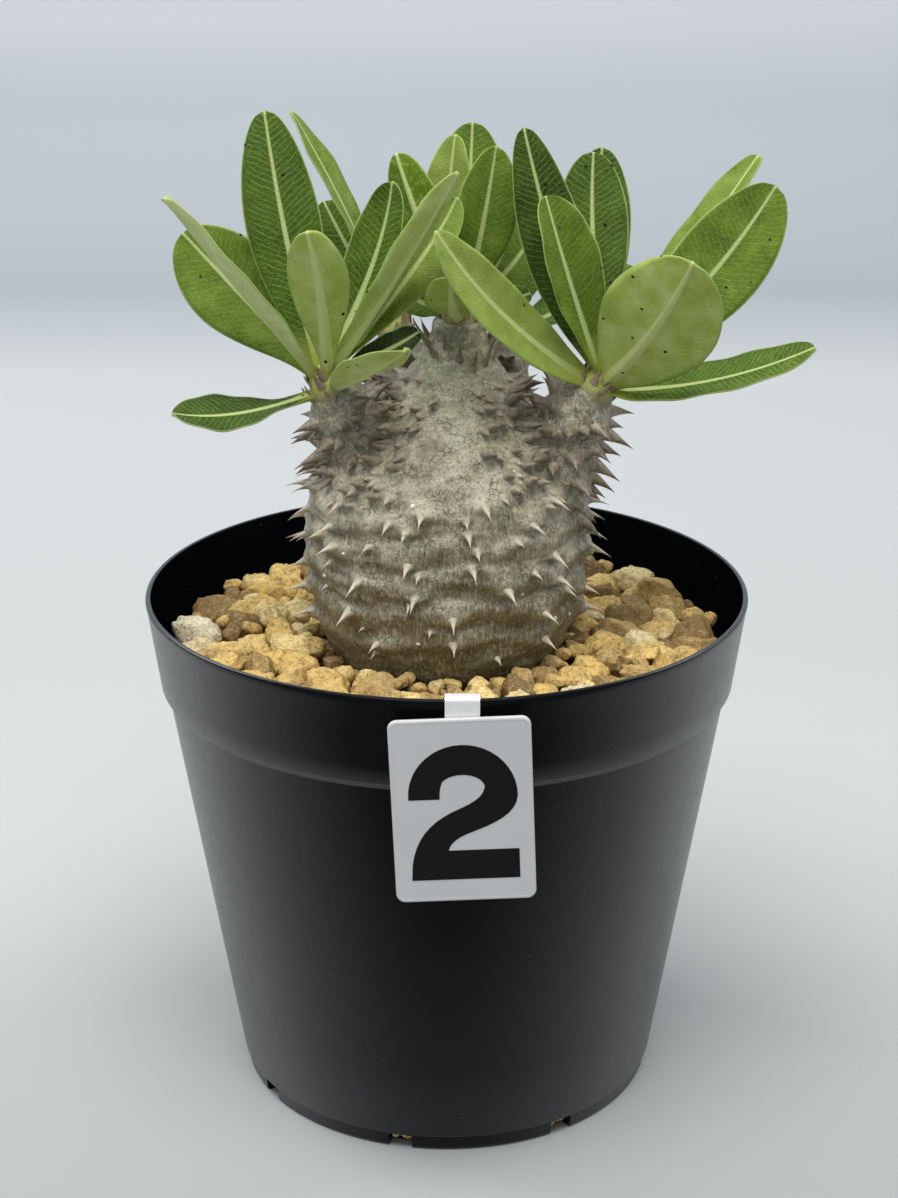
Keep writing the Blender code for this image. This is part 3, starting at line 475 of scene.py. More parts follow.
def stone_finish():
    """Weathered pumice: tan, yellow, brown or whitish, dusty and finely pitted, with painted
    shade in its pits and in the hollows of its lumps.
    """
    f = Finish("grit_stone", Specular_IOR_Level=0.25)
    tint = f.value_of("tint")
    grain = f.noise(4.0, 3.0, 0.7)
    rough = f.noise(1.1, 4.0, 0.65)
    pits = f.remap(f.cells(1.5), 0.06, 0.24)
    brown = f.times(f.remap(f.noise(0.42, 4.0, 0.62), 0.45, 0.72, 0.0, 0.65),
                    f.remap(tint, 0.85, 1.0, 1.0, 0.3))
    colour = f.ramp(tint, [(0.0, (0.075, 0.032, 0.006)), (0.2, (0.21, 0.115, 0.030)),
                           (0.42, (0.50, 0.33, 0.120)), (0.7, (0.80, 0.54, 0.150)),
                           (0.88, (0.88, 0.68, 0.280)), (1.0, (0.84, 0.78, 0.58))])
    colour = f.coats(
        colour,
        (brown, (0.20, 0.11, 0.032)),
        (f.remap(f.noise(0.3, 2.0), 0.58, 0.75, 0.0, 0.4), (0.42, 0.20, 0.05)),
        # Painted shade: darker in the low parts of the lumpy relief
        (f.remap(rough, 0.3, 0.5, 0.7, 0.0), (0.16, 0.085, 0.024)),
        (f.remap(rough, 0.52, 0.7, 0.0, 0.4), (0.84, 0.68, 0.36)),
        (f.remap(grain, 0.35, 0.65, 0.0, 0.22), (0.78, 0.64, 0.36)),
        # Painted shade: darker in the pits
        (f.remap(pits, 0.0, 1.0, 0.7, 0.0), (0.07, 0.04, 0.015)))
    return f.done(colour, grain, (0.75, 0.95), (pits, 0.3, 0.7), (rough, 0.9, 0.9),
                  (grain, 0.1, 0.5))


def bark_finish():
    """Silvery, papery bark: fine upright streaks, olive low hollows, greener neck, brown stems,
    and painted shade in the creases and over the lower trunk.
    """
    f = Finish("bark_skin", Specular_IOR_Level=0.75)
    height, raised, hue = f.axis(2), f.value_of("raised"), f.noise(0.11, 2.0)
    cloud = f.noise(0.16, 4.0, 0.6)
    mottle = f.noise(0.9, 4.0, 0.65)
    streak = f.noise(1.0, 3.0, 0.6, f.scaled(f.mm, (2.6, 2.6, 0.45)))
    cross = f.noise(1.0, 3.0, 0.6, f.scaled(f.mm, (0.5, 0.5, 3.4)))
    crack = f.times(f.remap(f.cells(0.75, "DISTANCE_TO_EDGE"), 0.0, 0.05, 1.0, 0.0),
                    f.remap(f.noise(0.25, 3.0), 0.48, 0.62, 0.0, 0.75))

    def level(wander, reach):
        """The height, moved up and down by a noise."""
        return f.math("ADD", height, f.spread(wander, -reach, reach))

    brown = f.times(f.value_of("stem"), f.remap(mottle, 0.3, 0.6, 0.9, 0.4))
    olive = f.times(f.remap(level(mottle, 5.0), 94.0, 108.0, 0.7, 0.0),
                    f.remap(raised, 0.3, 1.4, 1.0, 0.45))
    rings = f.times(f.remap(cross, 0.35, 0.5, 0.6, 0.0),
                    f.remap(height, 128.0, 140.0, 0.25, 1.0))
    colour = f.ramp(cloud, [(0.25, (0.19, 0.165, 0.090)), (0.45, (0.33, 0.30, 0.195)),
                            (0.62, (0.46, 0.425, 0.305)), (0.8, (0.55, 0.51, 0.39))])
    colour = f.coats(
        colour,
        (f.remap(hue, 0.52, 0.7, 0.0, 0.4), (0.42, 0.35, 0.30)),
        (f.remap(hue, 0.32, 0.48, 0.45, 0.0), (0.27, 0.28, 0.165)),
        (f.remap(level(cloud, 4.0), 134.0, 150.0, 0.0, 0.65), (0.25, 0.265, 0.155)),
        (brown, (0.165, 0.138, 0.090)),
        # Painted shade: darker towards the foot of the trunk
        (f.remap(level(cloud, 9.0), 104.0, 132.0, 0.8, 0.0), (0.135, 0.120, 0.064)),
        (f.remap(raised, 0.25, 1.4, 0.0, 0.65), (0.48, 0.44, 0.33)),
        # Painted shade: darker in the creases and in the folds under the spines
        (f.remap(raised, -0.7, 0.0, 0.85, 0.0), (0.085, 0.070, 0.024)),
        (olive, (0.165, 0.152, 0.070)),
        (f.remap(streak, 0.5, 0.64, 0.0, 0.45), (0.55, 0.51, 0.39)),
        (f.remap(streak, 0.34, 0.46, 0.55, 0.0), (0.080, 0.066, 0.030)),
        (rings, (0.12, 0.115, 0.062)),
        (f.remap(mottle, 0.3, 0.47, 0.55, 0.0), (0.080, 0.063, 0.028)),
        (f.remap(mottle, 0.56, 0.72, 0.0, 0.5), (0.62, 0.59, 0.48)),
        (crack, (0.035, 0.028, 0.018)),
        (f.remap(f.cells(0.55), 0.05, 0.13, 0.3, 0.0), (0.05, 0.04, 0.025)))
    return f.done(colour, streak, (0.28, 0.5), (cross, 0.25, 0.4), (streak, 0.3, 0.7),
                  (mottle, 0.35, 0.7), (crack, -0.2, 0.8))


def spine_finish():
    """Grey-brown horn with silvery flanks and a pale point."""
    f = Finish("spine_horn", Specular_IOR_Level=0.65)
    along = f.value_of("along")
    fibre = f.noise(1.0, 4.0, 0.65)
    pale = f.ramp(along, [(0.0, (0.36, 0.325, 0.23)), (0.3, (0.40, 0.36, 0.26)),
                          (0.7, (0.56, 0.50, 0.39)), (1.0, (0.42, 0.34, 0.24))])
    deep = f.ramp(along, [(0.0, (0.25, 0.215, 0.14)), (0.3, (0.20, 0.165, 0.108)),
                          (0.65, (0.155, 0.120, 0.078)), (1.0, (0.05, 0.034, 0.022))])
    colour = f.coats(pale, (f.value_of("dark"), deep),
                     (f.remap(fibre, 0.5, 0.66, 0.0, 0.55), (0.42, 0.38, 0.27)),
                     (f.remap(fibre, 0.34, 0.47, 0.6, 0.0), (0.07, 0.052, 0.03)))
    return f.done(colour, fibre, (0.3, 0.5), (fibre, 0.3, 0.7))


def leaf_finish(name, upper):
    """One face of a leaf: midrib, side veins, fine net, pale margin and yellow base, lighter or
    darker per leaf, partly as painted light and shade.
    """
    f = Finish(name, Specular_IOR_Level=0.13 if upper else 0.11, Subsurface_Weight=0.15,
               Subsurface_Radius=(0.5, 1.0, 0.2), Subsurface_Scale=MM)
    along, across, edge, share, tone_and_painted_light = map(f.value_of, LEAF_VALUES)
    flank = f.math("ABSOLUTE", across)
    vein = f.math("SUBTRACT", along, f.times(flank, VEIN_RISE))
    vein = f.math("ADD", vein, f.spread(f.noise(0.28, 2.0), -0.35, 0.35))
    vein = f.math("PINGPONG", f.math("DIVIDE", vein, VEIN_SPACING), 0.5)
    line = f.remap(vein, 0.02, 0.085, 1.0, 0.0)
    for value, *span in ((edge, 0.78, 0.93, 1.0, 0.15), (f.noise(0.8, 2.0), 0.3, 0.55, 0.4, 1.0),
                         (tone_and_painted_light, -1.0, -0.5, 0.25, 1.0), (tone_and_painted_light, -0.1, 0.5, 1.0, 0.45)):
        line = f.times(line, f.remap(value, *span))
    net = f.cells(2.3, "DISTANCE_TO_EDGE")
    mesh = f.remap(net, 0.02, 0.13, 1.0, 0.0)
    rib_half = f.remap(share, 0.0, 0.95, *((0.75, 0.2) if upper else (1.5, 0.3)))
    rib = f.remap(f.math("SUBTRACT", flank, rib_half), -0.12, 0.16, 1.0, 0.0)
    # Each leaf's lightness: partly its own, partly painted light and shade (lit-through leaves
    # lighter, shaded ones darker)
    light = f.math("ADD", tone_and_painted_light, f.spread(f.noise(0.22, 3.0), -0.25, 0.25))
    light = f.remap(light, -1.0, 1.0)
    if upper:
        colour = f.ramp(light, [(0.0, (0.001, 0.014, 0.001)), (0.4, (0.036, 0.082, 0.001)),
                                (0.65, (0.098, 0.160, 0.005)), (1.0, (0.290, 0.370, 0.080))])
        bloom = f.times(f.remap(f.noise(1.4, 3.0, 0.7), 0.42, 0.7, 0.0, 0.4),
                        f.remap(tone_and_painted_light, -1.0, 0.4, 0.1, 1.0))
        colour = f.coats(colour, (f.times(mesh, 0.3), (0.17, 0.26, 0.03)),
                         (f.times(line, 0.62), (0.31, 0.42, 0.11)), (bloom, (0.22, 0.31, 0.09)))
    else:
        colour = f.ramp(light, [(0.0, (0.10, 0.165, 0.004)), (0.4, (0.225, 0.315, 0.026)),
                                (0.65, (0.36, 0.45, 0.085)), (1.0, (0.60, 0.68, 0.31))])
        bloom = f.remap(f.noise(0.9, 3.0, 0.65), 0.5, 0.7, 0.0, 0.35)
        colour = f.coats(colour, (f.times(mesh, 0.10), (0.38, 0.47, 0.13)),
                         (f.times(line, 0.42), (0.15, 0.25, 0.015)), (bloom, (0.46, 0.53, 0.24)))
    colour = f.coats(
        colour,
        (f.times(rib, 0.9), (0.46, 0.54, 0.22) if upper else (0.54, 0.62, 0.26)),
        (f.remap(edge, 0.945, 0.985, 0.0, 0.7), (0.36, 0.44, 0.15)),
        (f.remap(share, 0.04, 0.2, 0.85, 0.0), (0.34, 0.38, 0.060)),
        (f.remap(f.cells(0.2), 0.06, 0.085, 1.0, 0.0), (0.012, 0.010, 0.006)))
    furrows = f.math("SUBTRACT", f.remap(net, 0.0, 0.25), line)
    return f.done(colour, f.noise(1.5, 3.0), (0.36, 0.52),
                  (furrows, 0.10 if upper else 0.05, 0.6), (f.noise(0.5, 2.0), 0.4, 0.3))


def bract_finish():
    """Growing tip, grey to yellow-green, with dry bracts from tan at the foot to brown."""
    f = Finish("dry_bract", Specular_IOR_Level=0.3)
    fibre = f.noise(1.0, 3.0, 0.6, f.scaled(f.mm, (3.0, 3.0, 0.8)))
    colour = f.ramp(f.value_of("along"), [
        (0.0, (0.20, 0.175, 0.12)), (0.12, (0.26, 0.26, 0.10)), (0.28, (0.36, 0.42, 0.06)),
        (0.36, (0.38, 0.33, 0.20)), (0.7, (0.26, 0.195, 0.115)), (1.0, (0.10, 0.065, 0.038))])
    colour = f.mix(f.remap(fibre, 0.4, 0.7, 0.0, 0.3), colour, (0.48, 0.42, 0.28))
    return f.done(colour, fibre, (0.5, 0.75), (fibre, 0.12, 0.6))


def sap_finish():
    """Dried white sap."""
    f = Finish("dried_sap", Specular_IOR_Level=0.6)
    grain = f.noise(3.0, 3.0)
    colour = f.mix(grain, (0.70, 0.66, 0.54), (0.86, 0.84, 0.76))
    return f.done(colour, grain, (0.25, 0.5), (grain, 0.1, 0.6))


def plate_finish():
    """White moulded plastic, faintly marked, with a few specks of dust."""
    f = Finish("tag_white", IOR=1.5)
    grain = f.noise(2.5, 3.0, 0.7)
    speck = f.times(f.remap(f.cells(0.3), 0.0, 0.05, 1.0, 0.0), 0.5)
    colour = f.mix(f.noise(0.08, 3.0), (0.51, 0.51, 0.52), (0.58, 0.58, 0.585))
    colour = f.mix(speck, colour, (0.25, 0.24, 0.22))
    return f.done(colour, grain, (0.30, 0.42), (grain, 0.02, 0.4))


def ink_finish():
    """Smooth black film."""
    f = Finish("tag_black", IOR=1.3)
    grain = f.noise(1.5, 3.0, 0.7)
    speck = f.times(f.remap(f.cells(0.35), 0.0, 0.06, 1.0, 0.0), 0.35)
    colour = f.mix(speck, (0.0015, 0.0015, 0.002), (0.16, 0.16, 0.17))
    return f.done(colour, grain, (0.28, 0.42), (grain, 0.02, 0.4))


def steel_finish():
    """Bright strip steel, brushed across its width."""
    f = Finish("clip_steel", Metallic=0.4)
    brush = f.noise(1.0, 3.0, 0.6, f.scaled(f.mm, (0.4, 6.0, 6.0)))
    colour = f.mix(f.noise(0.6, 2.0), (0.80, 0.80, 0.80), (0.92, 0.92, 0.91))
    return f.done(colour, brush, (0.26, 0.44), (brush, 0.02, 0.6))


def stage_finish():
    """Pale paper, bluer on the wall and darker at its foot, with painted light and shade on the
    floor: lighter towards the wall, darker towards the front.
    """
    f = Finish("stage_paper", Roughness=0.75, Specular_IOR_Level=0.2)
    depth = f.axis(1)
    wall = f.mix(f.remap(f.axis(2), 0.0, 130.0), (0.378, 0.415, 0.458), (0.60, 0.625, 0.655))
    colour = f.mix(f.noise(0.006, 3.0), (0.430, 0.446, 0.450), (0.462, 0.480, 0.484))
    # Painted light and shade: the floor is lighter towards the wall and darker towards the front
    colour = f.coats(colour, (f.remap(depth, 250.0, 560.0), (0.530, 0.552, 0.560)),
                     (f.remap(depth, 560.0, WALL_PLACE), wall),
                     (f.remap(depth, 110.0, -330.0, 0.0, 0.75), (0.17, 0.18, 0.182)))
    return f.wear(Base_Color=colour)


# Meshes

def show(name, points, faces, material, replaced, sharp=None):
    """A piece of the object from points in millimetres and faces, on the one body."""
    mesh = bpy.data.meshes.new(name)
    mesh.from_pydata((np.asarray(points, dtype=float) * MM).tolist(), [], faces)
    for item in material if isinstance(material, list) else [material]:
        mesh.materials.append(item)
    mesh.shade_smooth()
    if sharp is not None:
        mesh.set_sharp_from_angle(angle=math.radians(sharp))
    piece = bpy.data.objects.new(name, mesh)
    bpy.context.scene.collection.objects.link(piece)
    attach(piece, "root")
    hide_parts(*replaced)
    return piece


def keep_values(piece, **columns):
    """Keep a number for each point of a mesh under each name, for its material."""
    for name, column in columns.items():
        layer = piece.data.attributes.new(name, "FLOAT", "POINT")
        layer.data.foreach_set("value", np.asarray(column, dtype=np.float32))


def between(low, high, share):
    """Straight-line value between two numbers or vectors."""
    return low + (high - low) * share


def step(low, high, value):
    """Smooth rise from 0 to 1 between two values."""
    share = max(0.0, min(1.0, (value - low) / (high - low)))
    return share * share * (3.0 - 2.0 * share)


def polar(reach, angle, z):
    """A point at a reach and an angle round the upright axis."""
    return reach * math.cos(angle), reach * math.sin(angle), z


def outward(angle, lift):
    """The way out from the upright axis at an angle, with a lift."""
    return Vector(polar(1.0, angle, lift))


def full_turn(count):
    """Even angles round a circle."""
    return [2.0 * math.pi * i / count for i in range(count)]


def lofted(rings, start=0):
    """Points and faces of a capped skin over rings with equal counts."""
    points = [tuple(point) for ring in rings for point in ring]
    count = len(rings[0])
    faces = []
    for low in range(start, start + len(points) - count, count):
        for i in range(count):
            j = (i + 1) % count
            faces.append((low + i, low + j, low + count + j, low + count + i))
    last = start + len(points) - count
    faces.append(tuple(reversed(range(start, start + count))))
    faces.append(tuple(range(last, last + count)))
    return points, faces


def turned(profile, sides):
    """Points and faces of a turned solid from its closed run of radii and heights."""
    return lofted([[polar(radius, angle, z) for angle in full_turn(sides)]
                   for radius, z in profile])


def mend_faces(piece, triangulate=False):
    """Turn all faces of a closed piece outwards, and cut its caps into triangles."""
    bm = bmesh.new()
    bm.from_mesh(piece.data)
    bmesh.ops.recalc_face_normals(bm, faces=bm.faces)
    if triangulate:
        bmesh.ops.triangulate(bm, faces=[face for face in bm.faces if len(face.verts) > 4])
    bm.to_mesh(piece.data)
    bm.free()


def oval(centre, radii, first, last, steps):
    """Points of an upright oval between two angles in degrees."""
    angles = [math.radians(between(first, last, i / steps)) for i in range(steps + 1)]
    return [(centre[0] + radii[0] * math.cos(a), centre[1] + radii[1] * math.sin(a))
            for a in angles]


def arc(centre, radius, first, last, steps):
    """Points of a round arc between two angles in degrees."""
    return oval(centre, (radius, radius), first, last, steps)


# Pot

def outer_radius(z):
    """Outer radius of the pot's tapered body under the collar."""
    share = (z - FOOT_BAND) / (COLLAR_FOOT_Z - FOOT_BAND)
    return between(FOOT_RADIUS + FOOT_FLARE, BODY_TOP_RADIUS, share)


def collar_radius(z):
    """Outer radius of the collar, which widens from its foot to the rim."""
    share = (z - COLLAR_FOOT_Z) / (POT_HEIGHT - COLLAR_FOOT_Z)
    return between(COLLAR_FOOT_RADIUS, RIM_RADIUS, share)


def inner_radius(z):
    """Inner radius of the pot, in its body or in its collar."""
    return (outer_radius(z) if z <= COLLAR_FOOT_Z else collar_radius(z)) - WALL


def make_pot():
    """Turned shell with a foot band, a collar, a rounded lip and drain slots."""
    lip = WALL / 2.0
    profile = [(FOOT_RADIUS - 1.6, 0.0)]
    profile += arc((FOOT_RADIUS - 0.9, FOOT_ROUND), FOOT_ROUND, -90.0, 0.0, 4)
    profile += [(FOOT_RADIUS, FOOT_BAND - 0.5), (FOOT_RADIUS + 0.05, FOOT_BAND - 0.2)]
    profile += [(outer_radius(FOOT_BAND) - 0.05, FOOT_BAND + 0.15)]
    profile += [(outer_radius(z), z) for z in BODY_HEIGHTS]
    step_out = COLLAR_FOOT_RADIUS - outer_radius(COLLAR_FOOT_Z)
    for share in QUARTERS:
        z = COLLAR_FOOT_Z - 0.9 + 1.5 * share
        profile.append((outer_radius(z) + step_out * step(0.0, 1.0, share), z))
    profile += [(collar_radius(z), z) for z in COLLAR_HEIGHTS]
    profile += arc((RIM_RADIUS - lip, POT_HEIGHT - lip), lip, 0.0, 180.0, 8)
    profile += [(inner_radius(z), z) for z in HOLLOW_HEIGHTS]
    profile.append((inner_radius(FLOOR) - 1.0, FLOOR))
    points, faces = turned(profile, POT_SIDES)
    shell = show("pot_shell", points, faces, pot_finish(), ["pot"])
    group = bpy.data.collections.new("drain_cutters")
    cutters = drain_cutters()
    for cutter in cutters:
        group.objects.link(cutter)
    cut = shell.modifiers.new("Drain", "BOOLEAN")
    cut.operation = "DIFFERENCE"
    cut.operand_type = "COLLECTION"
    cut.collection = group
    apply_modifiers(shell)
    for cutter in cutters:
        bpy.data.objects.remove(cutter, do_unlink=True)
    bpy.data.collections.remove(group)
    shell.data.set_sharp_from_angle(angle=math.radians(POT_SHARP))
    inside = []
    for vertex in shell.data.vertices:
        x, y, z = vertex.co / MM
        inside.append(1.0 if math.hypot(x, y) < inner_radius(z) + WALL * 0.3 else 0.0)
    keep_values(shell, inside=inside)


def apply_modifiers(item):
    """Give an object the mesh that its modifiers make, and clear them."""
    bpy.context.view_layer.update()
    graph = bpy.context.evaluated_depsgraph_get()
    made = bpy.data.meshes.new_from_object(item.evaluated_get(graph))
    item.modifiers.clear()
    item.data = made


def drain_cutters():
    """A box for each drain slot, across the corner of wall and floor."""
    cutters = []
    reach = FOOT_RADIUS + 4.0 - DRAIN_INNER_RADIUS
    for index in range(DRAIN_SLOTS):
        turn = math.radians(DRAIN_FIRST_ANGLE + 360.0 * index / DRAIN_SLOTS)
        size = Matrix.Diagonal((DRAIN_WIDTH, reach, DRAIN_HEIGHT + 2.0, 1.0))
        place = Matrix.Translation((0.0, -DRAIN_INNER_RADIUS - reach / 2.0,
                                    DRAIN_HEIGHT / 2.0 - 1.0))
        bm = bmesh.new()
        whole = Matrix.Rotation(turn, 4, "Z") @ place @ size
        bmesh.ops.create_cube(bm, size=1.0, matrix=Matrix.Scale(MM, 4) @ whole)
        mesh = bpy.data.meshes.new("drain_cutter")
        bm.to_mesh(mesh)
        bm.free()
        cutters.append(bpy.data.objects.new("drain_cutter", mesh))
    return cutters


# Grit

def ball(subdivisions):
    """Unit points and faces of an icosphere."""
    bm = bmesh.new()
    bmesh.ops.create_icosphere(bm, subdivisions=subdivisions, radius=1.0)
    points = np.array([vertex.co for vertex in bm.verts])
    faces = np.array([[vertex.index for vertex in face.verts] for face in bm.faces])
    bm.free()
    return points, faces


def make_stones(name, rows, subdivisions, material):
    """One piece of many stones: each row is a centre, a size and its own seed."""
    unit, triangles = ball(subdivisions)
    clouds, shells, tints = [], [], []
    for count, (centre, size, seed, tint) in enumerate(rows):
        clouds.append(stone_points(unit, centre, size, seed))
        shells.append(triangles + count * len(unit))
        tints.append(np.full(len(unit), tint))
    piece = show(name, np.concatenate(clouds), np.concatenate(shells).tolist(), material,
                 ["grit"])
    keep_values(piece, tint=np.concatenate(tints))


def stone_points(unit, centre, size, seed):
    """A flattened ball with lumps, cut soft and flat on a few sides."""
    rng = np.random.default_rng(seed)
    points = unit.copy()
    for _ in range(STONE_CUTS):
        normal = rng.normal(size=3)
        normal /= np.linalg.norm(normal)
        over = np.maximum(points @ normal - rng.uniform(*CUT_LIMITS), 0.0)
        points -= np.outer(over * CUT_SHARE, normal)
    lumps = np.zeros(len(points))
    for scale, height in STONE_LUMPS:
        for _ in range(3):
            wave = rng.normal(size=3) * scale
            lumps += height * (0.55 - np.sin(unit @ wave + rng.uniform(*ANY_TURN)) ** 2)
    points *= (1.0 + lumps)[:, None]
    points *= np.array([rng.uniform(*span) for span in STONE_STRETCH])
    turn = Matrix.Rotation(rng.uniform(*ANY_TURN), 3, "Z")
    tilt = Matrix.Rotation(rng.uniform(-STONE_TILT, STONE_TILT), 3, "X")
    return points @ np.array((turn @ tilt).transposed()) * (size / 2.0) + np.array(centre)


def stone_tint(rng):
    """Mostly tan and yellow, some brown, a few whitish."""
    pick = rng.random()
    return rng.uniform(*next(span for below, *span in STONE_TINTS if pick < below))


def large_stones(rng):
    """Rows of the large stones, by the part's own rule, and of the pale one."""
    rows = []
    wall = inner_radius(GRIT_LEVEL)
    for index in range(STONES):
        size = rng.uniform(*STONE_SIZES)
        share = (index + 0.5) / STONES
        reach = math.sqrt(between(STONE_RING[0] ** 2, STONE_RING[1] ** 2, share))
        reach += jitter(rng, STONE_JITTER)
        reach = min(wall - STONE_WALL_GAP - size / 2.0, reach)
        reach = max(STONE_TRUNK_REACH + size / 2.0, reach)
        angle = GOLDEN_ANGLE * index + jitter(rng, STONE_TURN_JITTER)
        z = GRIT_LEVEL + rng.uniform(0.0, STONE_RISE)
        size *= rng.uniform(1.0, STONE_GROWTH)
        reach = min(reach, wall - GROWN_WALL_GAP - GROWN_REACH_SHARE * size)
        rows.append((polar(reach, angle, z), size, LARGE_SHAPES + index, stone_tint(rng)))
    place, width = PALE_STONE
    rows = [row for row in rows if (Vector(row[0]) - Vector(place)).length > 0.5 * width]
    return rows + [(place, width, PALE_STONE_SEED, 1.0)]


def small_stones(rng, large):
    """Rows of small stones where the large ones and the trunk leave room."""
    rows = []
    for _ in range(SMALL_STONE_TRIES):
        if len(rows) == SMALL_STONES:
            break
        size = rng.uniform(*SMALL_STONE_SIZES)
        wall = inner_radius(GRIT_LEVEL) - 0.7 * size
        reach = math.sqrt(rng.uniform(SMALL_STONE_REACH ** 2, wall ** 2))
        angle = rng.uniform(0.0, 2.0 * math.pi)
        z = GRIT_LEVEL + rng.uniform(*SMALL_STONE_RISES)
        centre = Vector(polar(reach, angle, z))
        if reach >= trunk_radius(z) + size * 0.42 and all(
                (centre - Vector(other)).length > SMALL_STONE_NEAR * (size + width)
                for other, width, _, _ in large + rows):
            rows.append((tuple(centre), size, SMALL_SHAPES + len(rows), stone_tint(rng)))
    return rows


def make_grit():
    """The fill, with large stones by the part's own rule and small ones between; its bed takes
    the darkest tint, painted shade in the gaps.
    """
    material = stone_finish()
    skin = GAP + 0.1
    edge = GRIT_LEVEL - GRIT_EDGE_DROP
    profile = [(inner_radius(FLOOR) - 1.0 - skin, FLOOR + GAP)]
    profile += [(inner_radius(z) - skin, z) for z in FILL_HEIGHTS]
    profile.append((inner_radius(GRIT_LEVEL) - skin - 1.4, edge))
    for share in QUARTERS:
        z = between(edge, TRUNK[0][0], share)
        profile.append((trunk_radius(z) + 1.5 * (1.0 - share) + 0.6, z))
    points, faces = turned(profile, POT_SIDES)
    bed = show("grit_bed", points, faces, material, ["grit"], 40.0)
    # The bed has tint 0, the darkest colour: painted shade in the gaps between stones
    keep_values(bed, tint=np.full(len(points), 0.0))
    rng = random.Random(STONE_SEED)
    large = large_stones(rng)
    make_stones("grit_stones_large", large, 4, material)
    make_stones("grit_stones_small", small_stones(rng, large), 3, material)
    make_stones("grit_stones_drain", drain_stones(rng), 3, material)


def drain_stones(rng):
    """Stones of the fill that show in the drain slots."""
    rows = []
    for index in range(DRAIN_SLOTS):
        turn = math.radians(DRAIN_FIRST_ANGLE - 90.0 + 360.0 * index / DRAIN_SLOTS)
        for offset in DRAIN_STONE_OFFSETS:
            size = rng.uniform(*DRAIN_STONE_SIZES)
            reach = rng.uniform(*DRAIN_STONE_REACHES)
            place = polar(reach, turn + offset / FOOT_RADIUS, rng.uniform(*DRAIN_STONE_HEIGHTS))
            rows.append((place, size, DRAIN_SHAPES + len(rows), rng.uniform(0.6, 0.9)))
    return rows


# Trunk and stems

def trunk_radius(z):
    """Smooth radius of the trunk at a height, from the TRUNK table."""
    if z <= TRUNK[0][0]:
        return TRUNK[0][1]
    if z >= TRUNK[-1][0]:
        return TRUNK[-1][1]
    last = len(TRUNK) - 1
    index = max(i for i in range(last) if TRUNK[i][0] <= z)
    rows = [TRUNK[max(0, min(last, index + k))] for k in (-1, 0, 1, 2)]
    share = (z - rows[1][0]) / (rows[2][0] - rows[1][0])
    width = rows[2][0] - rows[1][0]
    slope_low = (rows[2][1] - rows[0][1]) / max(rows[2][0] - rows[0][0], 1.0) * width
    slope_high = (rows[3][1] - rows[1][1]) / max(rows[3][0] - rows[1][0], 1.0) * width
    cube, square = share ** 3, share ** 2
    return ((2 * cube - 3 * square + 1) * rows[1][1] + (cube - 2 * square + share) * slope_low
            + (3 * square - 2 * cube) * rows[2][1] + (cube - square) * slope_high)


def trunk_axis_x(z):
    """The neck leans a little towards +X."""
    return NECK_SHIFT * step(NECK_START_Z, TRUNK[-1][0], z)


def trunk_point(z, angle):
    """A point of the trunk's skin, with its lumps and its transverse ridges."""
    radius = trunk_radius(z) * (1.0 + 0.014 * math.sin(2 * angle + 0.8)
                                + 0.010 * math.sin(5 * angle + 0.06 * z))
    window = (z - RIDGE_LOW_Z) * (RIDGE_HIGH_Z - z) / ((RIDGE_HIGH_Z - RIDGE_LOW_Z) / 2.0) ** 2
    if window > 0.0:
        wander = 1.3 * math.sin(2 * angle + 0.5) + 0.9 * math.sin(5 * angle)
        wave = math.sin(2.0 * math.pi * (z + wander) / RIDGE_PITCH)
        radius += RIDGE_DEPTH * math.sqrt(window) * wave
    return Vector((trunk_axis_x(z) + radius * math.cos(angle), radius * math.sin(angle), z))


def head_axis(head):
    """Unit vector along a head's stem."""
    return (Vector(head["top"]) - Vector(head["root"])).normalized()


def frame_of(axis):
    """Two unit vectors square to an axis."""
    side = axis.cross(Vector((0.0, 1.0, 0.0))).normalized()
    return side, side.cross(axis).normalized()


def stem_radius(head, share):
    """A stem is broad where it leaves the trunk and narrows towards its top."""
    low, high = head["radii"]
    return high + (low - high) * max(0.0, 1.0 - share) ** 1.5


def stem_point(head, share, angle, extra=0.0):
    """A point on a stem's skin."""
    axis = head_axis(head)
    side, front = frame_of(axis)
    centre = between(Vector(head["root"]), Vector(head["top"]), share)
    radius = stem_radius(head, share) + extra
    return centre + side * (radius * math.cos(angle)) + front * (radius * math.sin(angle))


def inside_trunk(point, margin):
    """Whether a point lies deeper than a margin inside the trunk's skin."""
    reach = math.hypot(point.x - trunk_axis_x(point.z), point.y)
    return point.z < TRUNK[-1][0] and reach < trunk_radius(point.z) - margin


def inside_stem(point, skip, margin):
    """Whether a point lies deeper than a margin inside another head's stem."""
    for name, head in HEADS.items():
        if name == skip:
            continue
        axis = head_axis(head)
        offset = point - Vector(head["root"])
        length = (Vector(head["top"]) - Vector(head["root"])).length
        share = offset.dot(axis) / length
        reach = (offset - axis * offset.dot(axis)).length
        if 0.0 < share < 1.0 and reach < stem_radius(head, share) - margin:
            return True
    return False


def jitter(rng, reach):
    """A seeded value between minus and plus a reach."""
    return rng.uniform(-reach, reach)


def drawn(rng, span):
    """A seeded value in a span, or the span's only value."""
    return rng.uniform(*span) if len(span) > 1 else span[0]


def spine_row(rng, row, z, count, lift):
    """Foot and direction of each spine in one row round the trunk."""
    spots = []
    for index in range(count):
        angle = 2.0 * math.pi * (index + 0.5 * (row % 2) + jitter(rng, ROW_JITTER)) / count
        foot = trunk_point(z + jitter(rng, HEIGHT_JITTER), angle)
        out = outward(angle, lift + jitter(rng, LEAN_JITTER))
        if not inside_stem(foot, None, ROW_COVER):
            spots.append((foot, out))
    return spots


